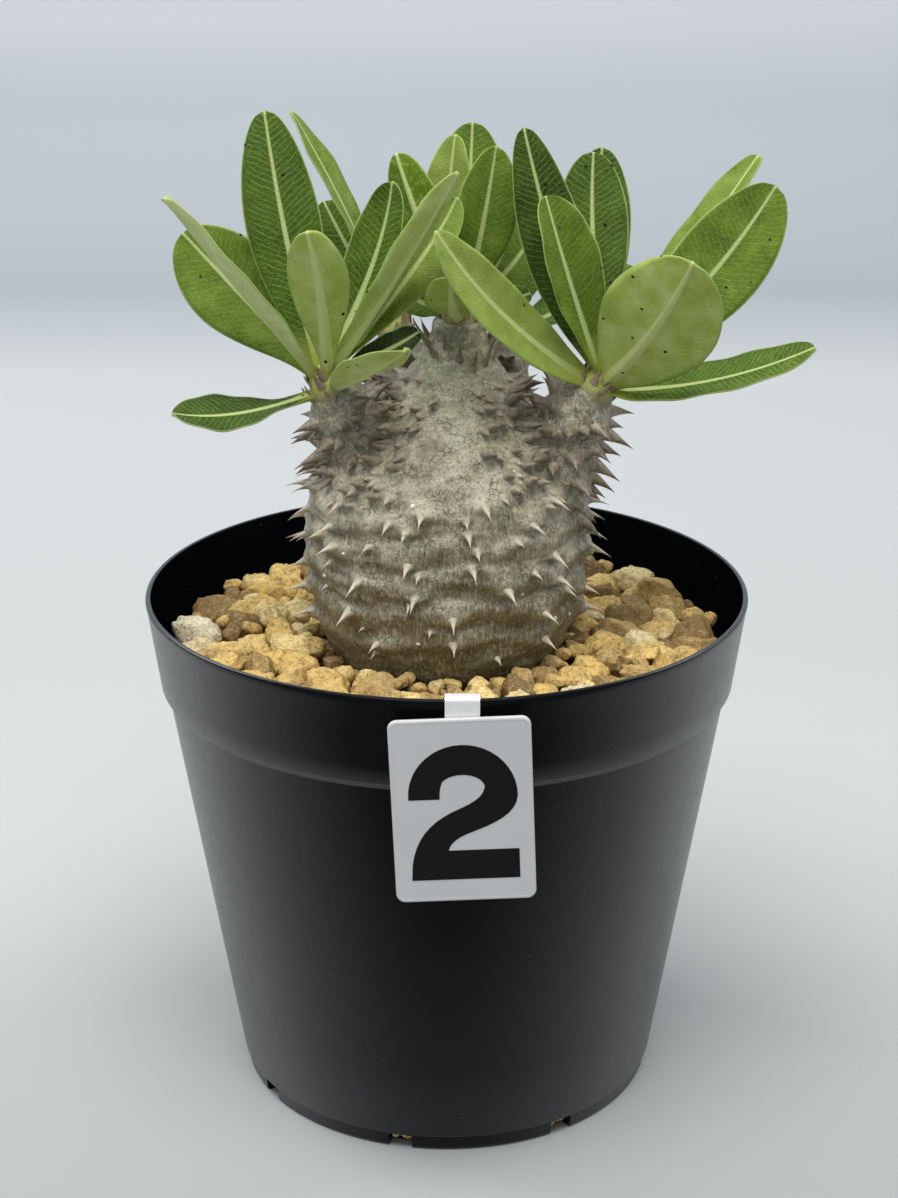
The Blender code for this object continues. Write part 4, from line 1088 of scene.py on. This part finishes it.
def trunk_spines(rng):
    """Foot, direction, length, width, droop and darkness of the spines on the trunk."""
    spines = []
    for row, (z, count) in enumerate(SPINE_ROWS):
        for foot, out in spine_row(rng, row, z, count, 0.0):
            length = rng.uniform(*SPINE_LENGTHS)
            spines.append((foot, out, length, SPINE_WIDTH, SPINE_DROOP, 0.0))
    for row, (z, count, bare) in enumerate(SHOULDER_ROWS):
        for foot, out in spine_row(rng, row, z, count, SHOULDER_LIFT):
            length = rng.uniform(*STEM_SPINE_LENGTHS)
            away = math.degrees(abs(math.atan2(foot.x, -foot.y)))
            if away > bare:
                spines.append((foot, out, length, STEM_SPINE_WIDTH, STEM_SPINE_DROOP, 0.8))
    return spines


def stem_spot(name, share, angle, lean=0.0):
    """Foot and direction of a spine on a stem, and whether the foot is in the open."""
    head = HEADS[name]
    foot = stem_point(head, share, angle)
    out = stem_point(head, share, angle, 1.0) - foot
    out.z += between(*STEM_SPINE_LIFTS, share) + lean
    return foot, out, not (inside_trunk(foot, STEM_COVER)
                           or inside_stem(foot, name, STEM_COVER))


def stem_spines(rng):
    """The same for the spines in a spiral on each stem: low ones hang, high ones rise."""
    spines = []
    for name, count in STEM_SPINES.items():
        for index in range(count):
            share = between(*STEM_SPINE_SHARES, (index + 0.5) / count)
            angle = GOLDEN_ANGLE * index + jitter(rng, LEAN_JITTER)
            foot, out, free = stem_spot(name, share, angle, jitter(rng, LEAN_JITTER))
            length = rng.uniform(*STEM_SPINE_LENGTHS)
            if free:
                spines.append((foot, out, length, STEM_SPINE_WIDTH, STEM_SPINE_DROOP, 1.0))
    return spines


def more_spines(rng):
    """Smaller spines and worn nubs between the main ones, on stems and trunk."""
    spines = []

    def grow(foot, out, lengths, widths, droop, dark):
        spines.append((foot, out, drawn(rng, lengths), drawn(rng, widths), droop, dark))

    def on_trunk(kind, z, angle, lift, covered=True):
        foot = trunk_point(z, angle)
        if not covered or not inside_stem(foot, None, ROW_COVER):
            grow(foot, outward(angle, lift), *kind)

    for name, count in STEM_NUBS.items():
        for index in range(count):
            share = STEM_NUB_START + STEM_NUB_SPAN * (index + 0.5) / count
            angle = GOLDEN_ANGLE * (index + 0.5) + 1.3 + jitter(rng, 0.2)
            foot, out, free = stem_spot(name, share, angle)
            if free:
                grow(foot, out, *STEM_NUB)
    for z, share in zip(FLANK_NUB_HEIGHTS, QUARTERS):
        bare = between(*FLANK_NUB_BARE, share)
        for side in (-1.0, 1.0):
            for away in FLANK_NUB_TURNS:
                angle = side * math.radians(bare + away + jitter(rng, 3.0)) + FRONT
                on_trunk(FLANK_NUB, z + jitter(rng, 1.0), angle, 0.25 + jitter(rng, 0.2), False)
    for index in range(WORN_NUBS):
        side = -1.0 if index % 2 else 1.0
        z = rng.uniform(*WORN_NUB_HEIGHTS)
        angle = side * math.radians(rng.uniform(*WORN_NUB_TURNS)) + FRONT
        on_trunk(WORN_NUB, z, angle, rng.uniform(-0.1, 0.5))
    for z in FIN_HEIGHTS:
        for side in (-1.0, 1.0):
            for away in FIN_TURNS:
                angle = side * math.radians(away + jitter(rng, 4.0)) + FRONT
                on_trunk(FIN, z + jitter(rng, 0.8), angle, 0.5 + jitter(rng, 0.2), False)
    for row, (z, count) in enumerate(LOW_NUB_ROWS):
        for index in range(count):
            angle = 2.0 * math.pi * (index + jitter(rng, 0.35)) / count + 0.4 * row
            on_trunk(LOW_NUB, z + jitter(rng, 1.0), angle, jitter(rng, 0.15))
    return spines


def neck_spines(rng):
    """Narrow dark spines that stand up round the neck under its leaves."""
    spines = []
    lengths, (width,), droop, dark = NECK_SPINE
    for index in range(NECK_SPINES):
        angle = 2.0 * math.pi * (index + jitter(rng, 0.2)) / NECK_SPINES
        foot = trunk_point(rng.uniform(*NECK_SPINE_HEIGHTS), angle)
        out = Vector(polar(0.7, angle, rng.uniform(0.8, 1.5)))
        spines.append((foot, out, rng.uniform(*lengths), width, droop, dark))
    return spines


def spine_axes(out):
    """Unit vectors along a spine, across it and up."""
    out = out.normalized()
    across = out.cross(Vector((0.0, 0.0, 1.0))).normalized()
    return out, across, across.cross(out).normalized()


def spine_rings(foot, out, length, width, droop, dark):
    """Rings of a recurved spine: a broad, rounded foot drawn out to a needle."""
    out, across, rise = spine_axes(out)
    power = between(2.0, 1.5, dark)
    rings = []
    for along in SPINE_STEPS:
        share = max(along, 0.0)
        half = width * 0.5 * (0.9 * (1.0 - share) ** power + 0.1 * (1.0 - share)) + 0.05
        thick = half * between(0.72, 0.95, share)
        centre = foot + out * (length * along) - rise * (droop * length * share * share)
        rings.append([centre + across * (half * math.cos(a)) + rise * (thick * math.sin(a))
                      for a in full_turn(SPINE_SIDES)])
    return rings


def make_spines(spines, blades):
    """One piece of every spine that no leaf stands in the way of."""
    points, faces, along, dark = [], [], [], []
    shares = [max(share, 0.0) for share in SPINE_STEPS for _ in range(SPINE_SIDES)]
    for foot, out, length, width, droop, shade in spines:
        if blades.ray_cast(foot * MM, out.normalized(), length * 0.8 * MM)[0] is None:
            rings = spine_rings(foot, out, length, width, droop, shade)
            more, skins = lofted(rings, len(points))
            points += more
            faces += skins
            along += shares
            dark += [shade] * len(more)
    piece = show("spines", points, faces, spine_finish(), ["caudex"])
    keep_values(piece, along=along, dark=dark)


def make_bark(spines):
    """Trunk and stems melted into one skin, then ridged, dimpled and knobbed."""
    points, faces = [], []

    def add(rings):
        more, skins = lofted(rings, len(points))
        points.extend(more)
        faces.extend(skins)

    turns = full_turn(BARK_SIDES)
    heights = [between(TRUNK[0][0], TRUNK[-1][0] + 1.0, i / BARK_ROWS)
               for i in range(BARK_ROWS + 1)]
    add([[trunk_point(z, a) for a in turns] for z in heights])
    for name, head in HEADS.items():
        if name == "centre":
            continue
        rings = []
        for i in range(STEM_ROWS + 1):
            share = i / STEM_ROWS * 1.03
            close = step(1.04, 0.86, share)
            rings.append([stem_point(head, share, a, -1.4 * (1.0 - close))
                          for a in turns[::2]])
        add(rings)
    bark = show("bark", points, faces, bark_finish(), ["caudex"])
    melt = bark.modifiers.new("Melt", "REMESH")
    melt.mode = "VOXEL"
    melt.voxel_size = BARK_VOXEL * MM
    smooth = bark.modifiers.new("Smooth", "SMOOTH")
    smooth.factor = 0.5
    smooth.iterations = BARK_SMOOTHING
    apply_modifiers(bark)
    carve_bark(bark, spines)
    return bark


def carve_bark(bark, spines):
    """Move the skin in and out: pointed bases under the spines, swells, dimples, lumps."""
    mesh = bark.data
    count = len(mesh.vertices)
    places, normals = np.empty((2, count * 3))
    mesh.vertices.foreach_get("co", places)
    mesh.vertices.foreach_get("normal", normals)
    places, normals = places.reshape(count, 3) / MM, normals.reshape(count, 3)
    knob, fold = np.zeros((2, count))
    for foot, out, length, width, _, dark in spines:
        offset = places - np.array(foot)
        near = np.nonzero(np.einsum("ij,ij->i", offset, offset) < KNOB_RANGE ** 2)[0]
        deep, flat, tall = (offset[near] @ np.array(way) for way in spine_axes(out))
        wide = between(*KNOB_WIDTHS, dark) * width
        high = between(*KNOB_HEIGHTS, dark) * width * np.where(tall < 0.0, KNOB_UNDERSIDE, 1.0)
        size = min(length / 5.0, width / 3.4, 1.0)
        level = (flat / wide) ** 2 + (deep / KNOB_DEPTH) ** 2
        reach = np.sqrt(level + (tall / high) ** 2)
        peak = np.exp(-reach ** KNOB_FALL) * between(*KNOB_PEAKS, dark) * size
        knob[near] = np.maximum(knob[near], peak)
        under = np.exp(-level - ((tall + 0.55 * width) / (0.35 * width)) ** 2)
        fold[near] = np.maximum(fold[near], under * FOLD_DEPTH * size)
    moves = np.zeros(count)
    for index in range(count):
        x, y, z = places[index]
        spot = Vector((x, y, z))
        lumps = noise.noise(spot * 0.13) * 0.55 + noise.noise(spot * 0.36) * 0.3
        swell = noise.noise(Vector((x * 0.10, y * 0.10, z * 0.42)))
        crease = noise.noise(Vector((x * 0.30, y * 0.30, z * 1.5)) + Vector((7.0, 3.0, 1.0)))
        tight = 0.2 + 1.0 * step(134.0, 147.0, z)
        dimple = noise.noise(spot * 0.8)
        moves[index] = (lumps + (1.0 - abs(swell) * 2.0) * 0.26
                        + (1.0 - abs(crease) * 2.0) * 0.14 * tight + dimple * 0.11)
    moves += knob - fold
    places += normals * moves[:, None]
    places[:, 2] -= KNOB_SAG * knob
    mesh.vertices.foreach_set("co", (places * MM).ravel())
    mesh.update()
    mesh.shade_smooth()
    table = np.array(TRUNK)
    beyond = np.hypot(places[:, 0], places[:, 1]) - np.interp(places[:, 2], *table.T)
    keep_values(bark, raised=moves - BARK_RISE, stem=np.clip(beyond / 4.0 - 0.3, 0.0, 1.0))


def make_sap(bark, rng):
    """Small crusts of dried white sap on the trunk."""
    tree = BVHTree.FromPolygons([vertex.co for vertex in bark.data.vertices],
                                [face.vertices for face in bark.data.polygons])
    unit, triangles = ball(3)
    clouds, shells = [], []
    for count in range(SAP_CRUSTS):
        z = rng.uniform(*SAP_HEIGHTS)
        angle = rng.uniform(0.0, 2.0 * math.pi)
        way = outward(angle, 0.0)
        start = way * RIM_RADIUS + Vector((0.0, 0.0, z))
        spot, normal, _, _ = tree.ray_cast(start * MM, -way)
        if spot is None:
            continue
        size = rng.uniform(*SAP_SIZES)
        turn = normal.to_track_quat("Z", "Y").to_matrix()
        lumps = np.random.default_rng(count).uniform(0.6, 1.15, len(unit))[:, None]
        shape = unit * lumps * np.array([size, size * 0.8, size * 0.45])
        clouds.append(shape @ np.array(turn.transposed()) + np.array(spot) / MM)
        shells.append(triangles + sum(len(cloud) for cloud in clouds[:-1]))
    show("sap_crusts", np.concatenate(clouds), np.concatenate(shells).tolist(), sap_finish(),
         ["caudex"])


# Leaves

def direction(azimuth, elevation):
    """Unit vector from degrees round from the front (-Y) and degrees up."""
    turn, lift = math.radians(azimuth), math.radians(elevation)
    return Vector((math.cos(lift) * math.sin(turn), -math.cos(lift) * math.cos(turn),
                   math.sin(lift)))


def leaf_width(share, belly):
    """Obovate outline: narrow at the base, widest past the middle, round at the tip."""
    swell = math.sin(math.pi * min(share, 1.0) ** belly)
    full = max(swell, 0.0) ** between(*LEAF_SWELLS, share)
    floor = between(LEAF_BASE_SHARE, 0.012, share)
    return math.sqrt(floor * floor + full * full * (1.0 - floor))


def leaf_base(head, rise, towards):
    """Where a leaf starts, inside the core of its head."""
    start = Vector(head["top"]) + head_axis(head) * (GAP + rise)
    level = Vector((towards.x - start.x, towards.y - start.y, 0.0))
    return start + level.normalized() * 0.8


def leaf_grid(head, rise, middle, tip, width, face, fold, belly, tone_and_painted_light):
    """Rows of points over both faces of one blade, and its values for the veins."""
    middle, tip = Vector(middle), Vector(tip)
    base = leaf_base(head, rise, middle)
    control = middle * 2.0 - (base + tip) / 2.0
    face = direction(*face)
    lift = math.radians(fold)
    columns = [math.copysign(abs(i / LEAF_ACROSS) ** 1.35, i)
               for i in range(-LEAF_ACROSS, LEAF_ACROSS + 1)]
    tops, unders, values = [], [], []
    along = 0.0
    last = base
    for i in range(LEAF_LENGTHWISE + 1):
        t = i / LEAF_LENGTHWISE
        t = between(t, 1.0 - (1.0 - t) ** 2, 0.35)
        centre = base * (1 - t) ** 2 + control * (2 * t * (1 - t)) + tip * t ** 2
        along += (centre - last).length
        last = centre
        tangent = ((control - base) * (1 - t) + (tip - control) * t).normalized()
        normal = (face - tangent * face.dot(tangent)).normalized()
        side = tangent.cross(normal)
        half = 0.5 * width * leaf_width(t, belly)
        stalk = STALK * max(0.0, 1.0 - t / STALK_SHARE) ** 1.4
        for s in columns:
            flank = abs(s)
            bend = (math.sqrt(s * s + FOLD_ROUND) - math.sqrt(FOLD_ROUND)) / FOLD_SCALE
            sign = -1.0 if s < 0.0 else 1.0
            wave = EDGE_WAVE * flank * math.sin(9.0 * t + 1.7 * sign + width)
            wave += EDGE_RIPPLE * flank ** 2 * math.sin(26.0 * t + 2.3 * sign + 3.0 * width)
            spot = (centre + side * (s * half * math.cos(lift))
                    + normal * (bend * half * math.sin(lift) + wave))
            across = s * half
            blade = BLADE * (1.0 - 0.5 * flank ** 3) * 0.5
            rib = math.exp(-(across / (0.42 + 0.75 * (1.0 - t))) ** 2)
            stem = stalk * (1.0 - s * s)
            under = blade + (MIDRIB * (1.0 - t) ** 0.8 + 0.1) * rib
            tops.append(tuple(spot + normal * (blade + stem * 0.4 + 0.07 * rib)))
            unders.append(tuple(spot - normal * (under + stem)))
            # The last value is the leaf's lightness, partly painted light and shade
            values.append((along, across, flank, t, tone_and_painted_light))
    return tops, unders, values


def make_foliage(name):
    """One piece of fine leaves for a head, upper faces and undersides."""
    points, faces, looks, values = [], [], [], []
    width = 2 * LEAF_ACROSS + 1
    for row in LEAVES[name]:
        tops, unders, columns = leaf_grid(HEADS[name], *row)
        top = len(points)
        under = top + len(tops)
        points += tops + unders
        values += columns + columns
        for i in range(LEAF_LENGTHWISE):
            for j in range(width - 1):
                a, b = i * width + j, i * width + j + 1
                c, d = a + width, b + width
                faces.append((top + a, top + b, top + d, top + c))
                faces.append((under + a, under + c, under + d, under + b))
                looks += [0, 1]
            for j in (0, width - 1):
                a = i * width + j
                c = a + width
                quad = (top + a, top + c, under + c, under + a)
                faces.append(quad if j == 0 else tuple(reversed(quad)))
                looks.append(0)
        for i in (0, LEAF_LENGTHWISE):
            for j in range(width - 1):
                a, b = i * width + j, i * width + j + 1
                quad = (top + a, under + a, under + b, top + b)
                faces.append(quad if i == 0 else tuple(reversed(quad)))
                looks.append(0)
    piece = show(f"foliage_{name}", points, faces, LEAF_FINISHES, [f"leaves_{name}"])
    piece.data.polygons.foreach_set("material_index", looks)
    keep_values(piece, **dict(zip(LEAF_VALUES, np.array(values).T)))
    return piece


def bract(start, axis, way, length, half):
    """Rings of one dry bract, which leans outwards and narrows to its point."""
    cross = axis.cross(way)
    edge = [(s, 0.0) for s in BRACT_SIDES]
    edge += [(s, BRACT_THICKNESS) for s in reversed(BRACT_SIDES)]
    rings = []
    for i in range(BRACT_ROWS + 1):
        t = i / BRACT_ROWS
        spot = start + axis * (length * t) + way * (0.9 * length * (0.5 * t - 0.25 * t * t))
        wide = half * (1.0 - t ** 1.6) + 0.05
        rings.append([spot + cross * (s * wide) + way * (0.35 * wide * (1.0 - s * s) - back)
                      for s, back in edge])
    return rings


def make_crown(name, rng):
    """Growing tip of a head: a small dome with dry bracts round the leaf bases."""
    head = HEADS[name]
    top, axis = Vector(head["top"]), head_axis(head)
    side, front = frame_of(axis)
    seat = head["radii"][1] * SEAT_SHARE
    rings = []
    for i in range(CROWN_ROWS + 1):
        share = i / CROWN_ROWS
        centre = top + axis * (-CROWN_DEPTH + (CORE_HEIGHT + CROWN_DEPTH) * share)
        size = seat * (1.0 - share ** 2.2) ** 0.6 + 0.05
        rings.append([centre + side * (size * math.cos(a)) + front * (size * math.sin(a))
                      for a in full_turn(CROWN_SIDES)])
    points, faces = lofted(rings)
    along = [0.3 * step(3.0, 8.0, i // CROWN_SIDES) for i in range(len(points))]
    for index in range(BRACTS):
        share = index / (BRACTS - 1)
        angle = GOLDEN_ANGLE * index + jitter(rng, 0.2)
        way = side * math.cos(angle) + front * math.sin(angle)
        start = top + axis * between(*BRACT_LEVELS, share)
        start += way * (seat * between(0.92, 0.6, share))
        rings = bract(start, axis, way, rng.uniform(*BRACT_LENGTHS), rng.uniform(*BRACT_HALVES))
        more, skins = lofted(rings, len(points))
        points += more
        faces += skins
        along += [between(0.36, 1.0, i / BRACT_ROWS)
                  for i in range(BRACT_ROWS + 1) for _ in rings[0]]
    crown = show(f"crown_{name}", points, faces, BRACT_FINISH, [f"leaves_{name}"])
    keep_values(crown, along=along)


# Tag

def tag_point(x, z):
    """Where a point of the plate lies in its tilted plane."""
    turn = math.radians(TAG_TILT)
    return (TAG_CENTRE[0] + x * math.cos(turn) - z * math.sin(turn),
            TAG_CENTRE[1] + x * math.sin(turn) + z * math.cos(turn))


def plate_outline(inset):
    """Round-cornered outline of the plate in its own plane, drawn in by an inset."""
    half_x, half_z = (size / 2.0 - TAG_CORNER for size in TAG_SIZE[:2])
    outline = []
    for corner, (sx, sz) in enumerate(((1, 1), (-1, 1), (-1, -1), (1, -1))):
        outline += arc((sx * half_x, sz * half_z), TAG_CORNER - inset, 90.0 * corner,
                       90.0 * (corner + 1), 8)
    return [tag_point(x, z) for x, z in outline]


def make_tag():
    """Plate with rounded edges, and its numeral as a thin black film."""
    thickness = TAG_SIZE[2]
    back = -(RIM_RADIUS + GAP) - CLIP_STEEL - GAP
    rings = []
    for depth, inset in ((0.0, TAG_BEVEL), (0.12, 0.1), (TAG_BEVEL, 0.0),
                         (thickness - TAG_BEVEL, 0.0), (thickness - 0.12, 0.1),
                         (thickness - 0.02, 0.3), (thickness, 0.5), (thickness - 0.04, 0.62),
                         (thickness - 0.04, 0.8)):
        rings.append([(x, back - depth, z) for x, z in plate_outline(inset)])
    points, faces = lofted(rings)
    show("tag_plate_fine", points, faces, plate_finish(), ["tag_plate"], 35.0)
    front = back - thickness
    left, foot = NUMERAL_PLACE
    placed = [tag_point(x + left, z + foot) for x, z in numeral_two()]
    rings = [[(x, y, z) for x, z in placed] for y in (front + 0.1, front - 0.02)]
    points, faces = lofted(rings)
    film = show("tag_numeral", points, faces, ink_finish(), ["tag_plate"], 30.0)
    mend_faces(film, triangulate=True)


def numeral_two():
    """Outline of a plain heavy 2, from arcs and curves, its foot at the origin."""
    width, foot, stroke = 19.45, 5.75, 5.6
    shoulder = 15.9
    outline = [(stroke, shoulder), (0.0, shoulder)]
    outline += oval((9.75, 16.4), (9.75, 9.9), 180.0, 0.0, 22)[1:]
    outline += curve((19.5, 16.4), (19.3, 12.0), (13.6, 10.3), (10.1, 8.9), 9)
    outline += curve((10.1, 8.9), (8.2, 8.1), (7.0, 7.0), (6.8, foot), 5)
    outline += [(width, foot), (width, 0.0), (0.0, 0.0)]
    outline += curve((0.0, 1.0), (0.3, 7.2), (2.9, 10.9), (7.7, 13.3), 9)
    outline += curve((7.7, 13.3), (10.2, 14.5), (13.3, 15.5), (13.7, 18.1), 7)
    outline += oval((9.65, 18.0), (4.05, 2.55), 0.0, 150.0, 9)[1:]
    outline += curve((6.05, 19.1), (5.7, 18.0), (5.6, 17.0), (5.6, 16.3), 4)
    return outline


def curve(start, pull_out, pull_in, end, steps):
    """Points of a Bezier curve, without its first."""
    made = []
    for i in range(1, steps + 1):
        t = i / steps
        weights = ((1 - t) ** 3, 3 * t * (1 - t) ** 2, 3 * t * t * (1 - t), t ** 3)
        knots = (start, pull_out, pull_in, end)
        made.append(tuple(sum(w * knot[k] for w, knot in zip(weights, knots)) for k in (0, 1)))
    return made


def make_clip():
    """Steel strip folded round the rim with rounded bends."""
    outer_y = -(RIM_RADIUS + GAP)
    top_z = POT_HEIGHT + GAP
    inner_top_y = -(inner_radius(POT_HEIGHT) - GAP - 0.1)
    inner_foot_y = -(inner_radius(CLIP_INNER_FOOT_Z) - GAP - 0.1)
    bend_z = top_z - CLIP_BEND
    outer_bend = (outer_y + CLIP_BEND, bend_z)
    inner_bend = (inner_top_y - CLIP_BEND, bend_z)
    inside = [(outer_y, CLIP_OUTER_FOOT_Z), (outer_y, bend_z)]
    inside += arc(outer_bend, CLIP_BEND, 180.0, 90.0, 5)[1:]
    inside += arc(inner_bend, CLIP_BEND, 90.0, 0.0, 5)
    inside += [(inner_foot_y, CLIP_INNER_FOOT_Z)]
    outside = [(inner_foot_y + CLIP_STEEL, CLIP_INNER_FOOT_Z)]
    outside += arc(inner_bend, CLIP_BEND + CLIP_STEEL, 0.0, 90.0, 5)
    outside += arc(outer_bend, CLIP_BEND + CLIP_STEEL, 90.0, 180.0, 5)
    outside += [(outer_y - CLIP_STEEL, CLIP_OUTER_FOOT_Z)]
    strip = inside + outside
    half = CLIP_WIDTH / 2.0
    rings = [[(CLIP_CENTRE_X + x, y, z) for y, z in strip] for x in (-half, half)]
    points, faces = lofted(rings)
    clip = show("tag_clip_fine", points, faces, steel_finish(), ["tag_clip"])
    mend_faces(clip)
    clip.data.set_sharp_from_angle(angle=math.radians(50.0))


# Studio

def make_stage():
    """A pale floor that sweeps up into a backdrop."""
    foot = WALL_PLACE - WALL_BEND
    profile = [(-STAGE_REACH, 0.0)]
    profile += arc((foot, WALL_BEND), WALL_BEND, -90.0, 0.0, STAGE_BEND_STEPS)
    profile.append((WALL_PLACE, STAGE_HEIGHT))
    points = [(x, y, z) for x in (-STAGE_REACH, STAGE_REACH) for y, z in profile]
    count = len(profile)
    faces = [(k, k + 1, count + k + 1, count + k) for k in range(count - 1)]
    mesh = bpy.data.meshes.new("floor")
    mesh.from_pydata([tuple(c * MM for c in point) for point in points], [], faces)
    mesh.shade_smooth()
    mesh.materials.append(stage_finish())
    floor = bpy.data.objects.new("floor", mesh)
    bpy.context.scene.collection.objects.link(floor)


def add_light(name, place, size, power, colour):
    """A square soft light that faces the plant."""
    data = bpy.data.lights.new(name, "AREA")
    data.shape = "RECTANGLE"
    data.size, data.size_y = size
    data.energy = power
    data.color = colour
    light = bpy.data.objects.new(name, data)
    bpy.context.scene.collection.objects.link(light)
    light.location = place
    aim = Vector(LIGHT_AIM) - Vector(place)
    light.rotation_euler = aim.to_track_quat("-Z", "Y").to_euler()


def light_scene():
    """Even pale surroundings, a broad light above and a weaker one on either side."""
    world = bpy.data.worlds.new("surroundings")
    world.use_nodes = True
    sky = world.node_tree.nodes["Background"]
    sky.inputs["Color"].default_value = SKY_COLOUR
    sky.inputs["Strength"].default_value = SKY_STRENGTH
    bpy.context.scene.world = world
    for row in LIGHTS:
        add_light(*row)


def add_camera():
    """The photograph's view."""
    data = bpy.data.cameras.new("view")
    data.lens = CAMERA_LENS
    data.sensor_fit = "VERTICAL"
    data.sensor_height = CAMERA_SENSOR
    data.clip_start = 0.01
    camera = bpy.data.objects.new("view", data)
    camera.location = [value * MM for value in CAMERA_PLACE]
    camera.rotation_euler = (math.radians(90.0 - CAMERA_PITCH), 0.0, 0.0)
    bpy.context.scene.collection.objects.link(camera)
    bpy.context.scene.camera = camera


bpy.context.scene.view_settings.view_transform = "Standard"
add_camera()
make_stage()
light_scene()
make_pot()
make_grit()

LEAF_FINISHES = [leaf_finish("leaf_upper", True), leaf_finish("leaf_under", False)]
BRACT_FINISH = bract_finish()
foliage = [make_foliage(name) for name in HEADS]
crown_rng = random.Random(CROWN_SEED)
for head_name in HEADS:
    make_crown(head_name, crown_rng)

spine_rng = random.Random(SPINE_SEED)
main_spines = trunk_spines(spine_rng) + stem_spines(spine_rng)
extra_spines = more_spines(spine_rng)
make_sap(make_bark(main_spines + extra_spines), spine_rng)
blade_points, blade_faces = [], []
for piece in foliage:
    first = len(blade_points)
    blade_points += [vertex.co.copy() for vertex in piece.data.vertices]
    blade_faces += [[first + index for index in face.vertices] for face in piece.data.polygons]
blade_tree = BVHTree.FromPolygons(blade_points, blade_faces)
make_spines(main_spines + extra_spines + neck_spines(spine_rng), blade_tree)
make_tag()
make_clip()
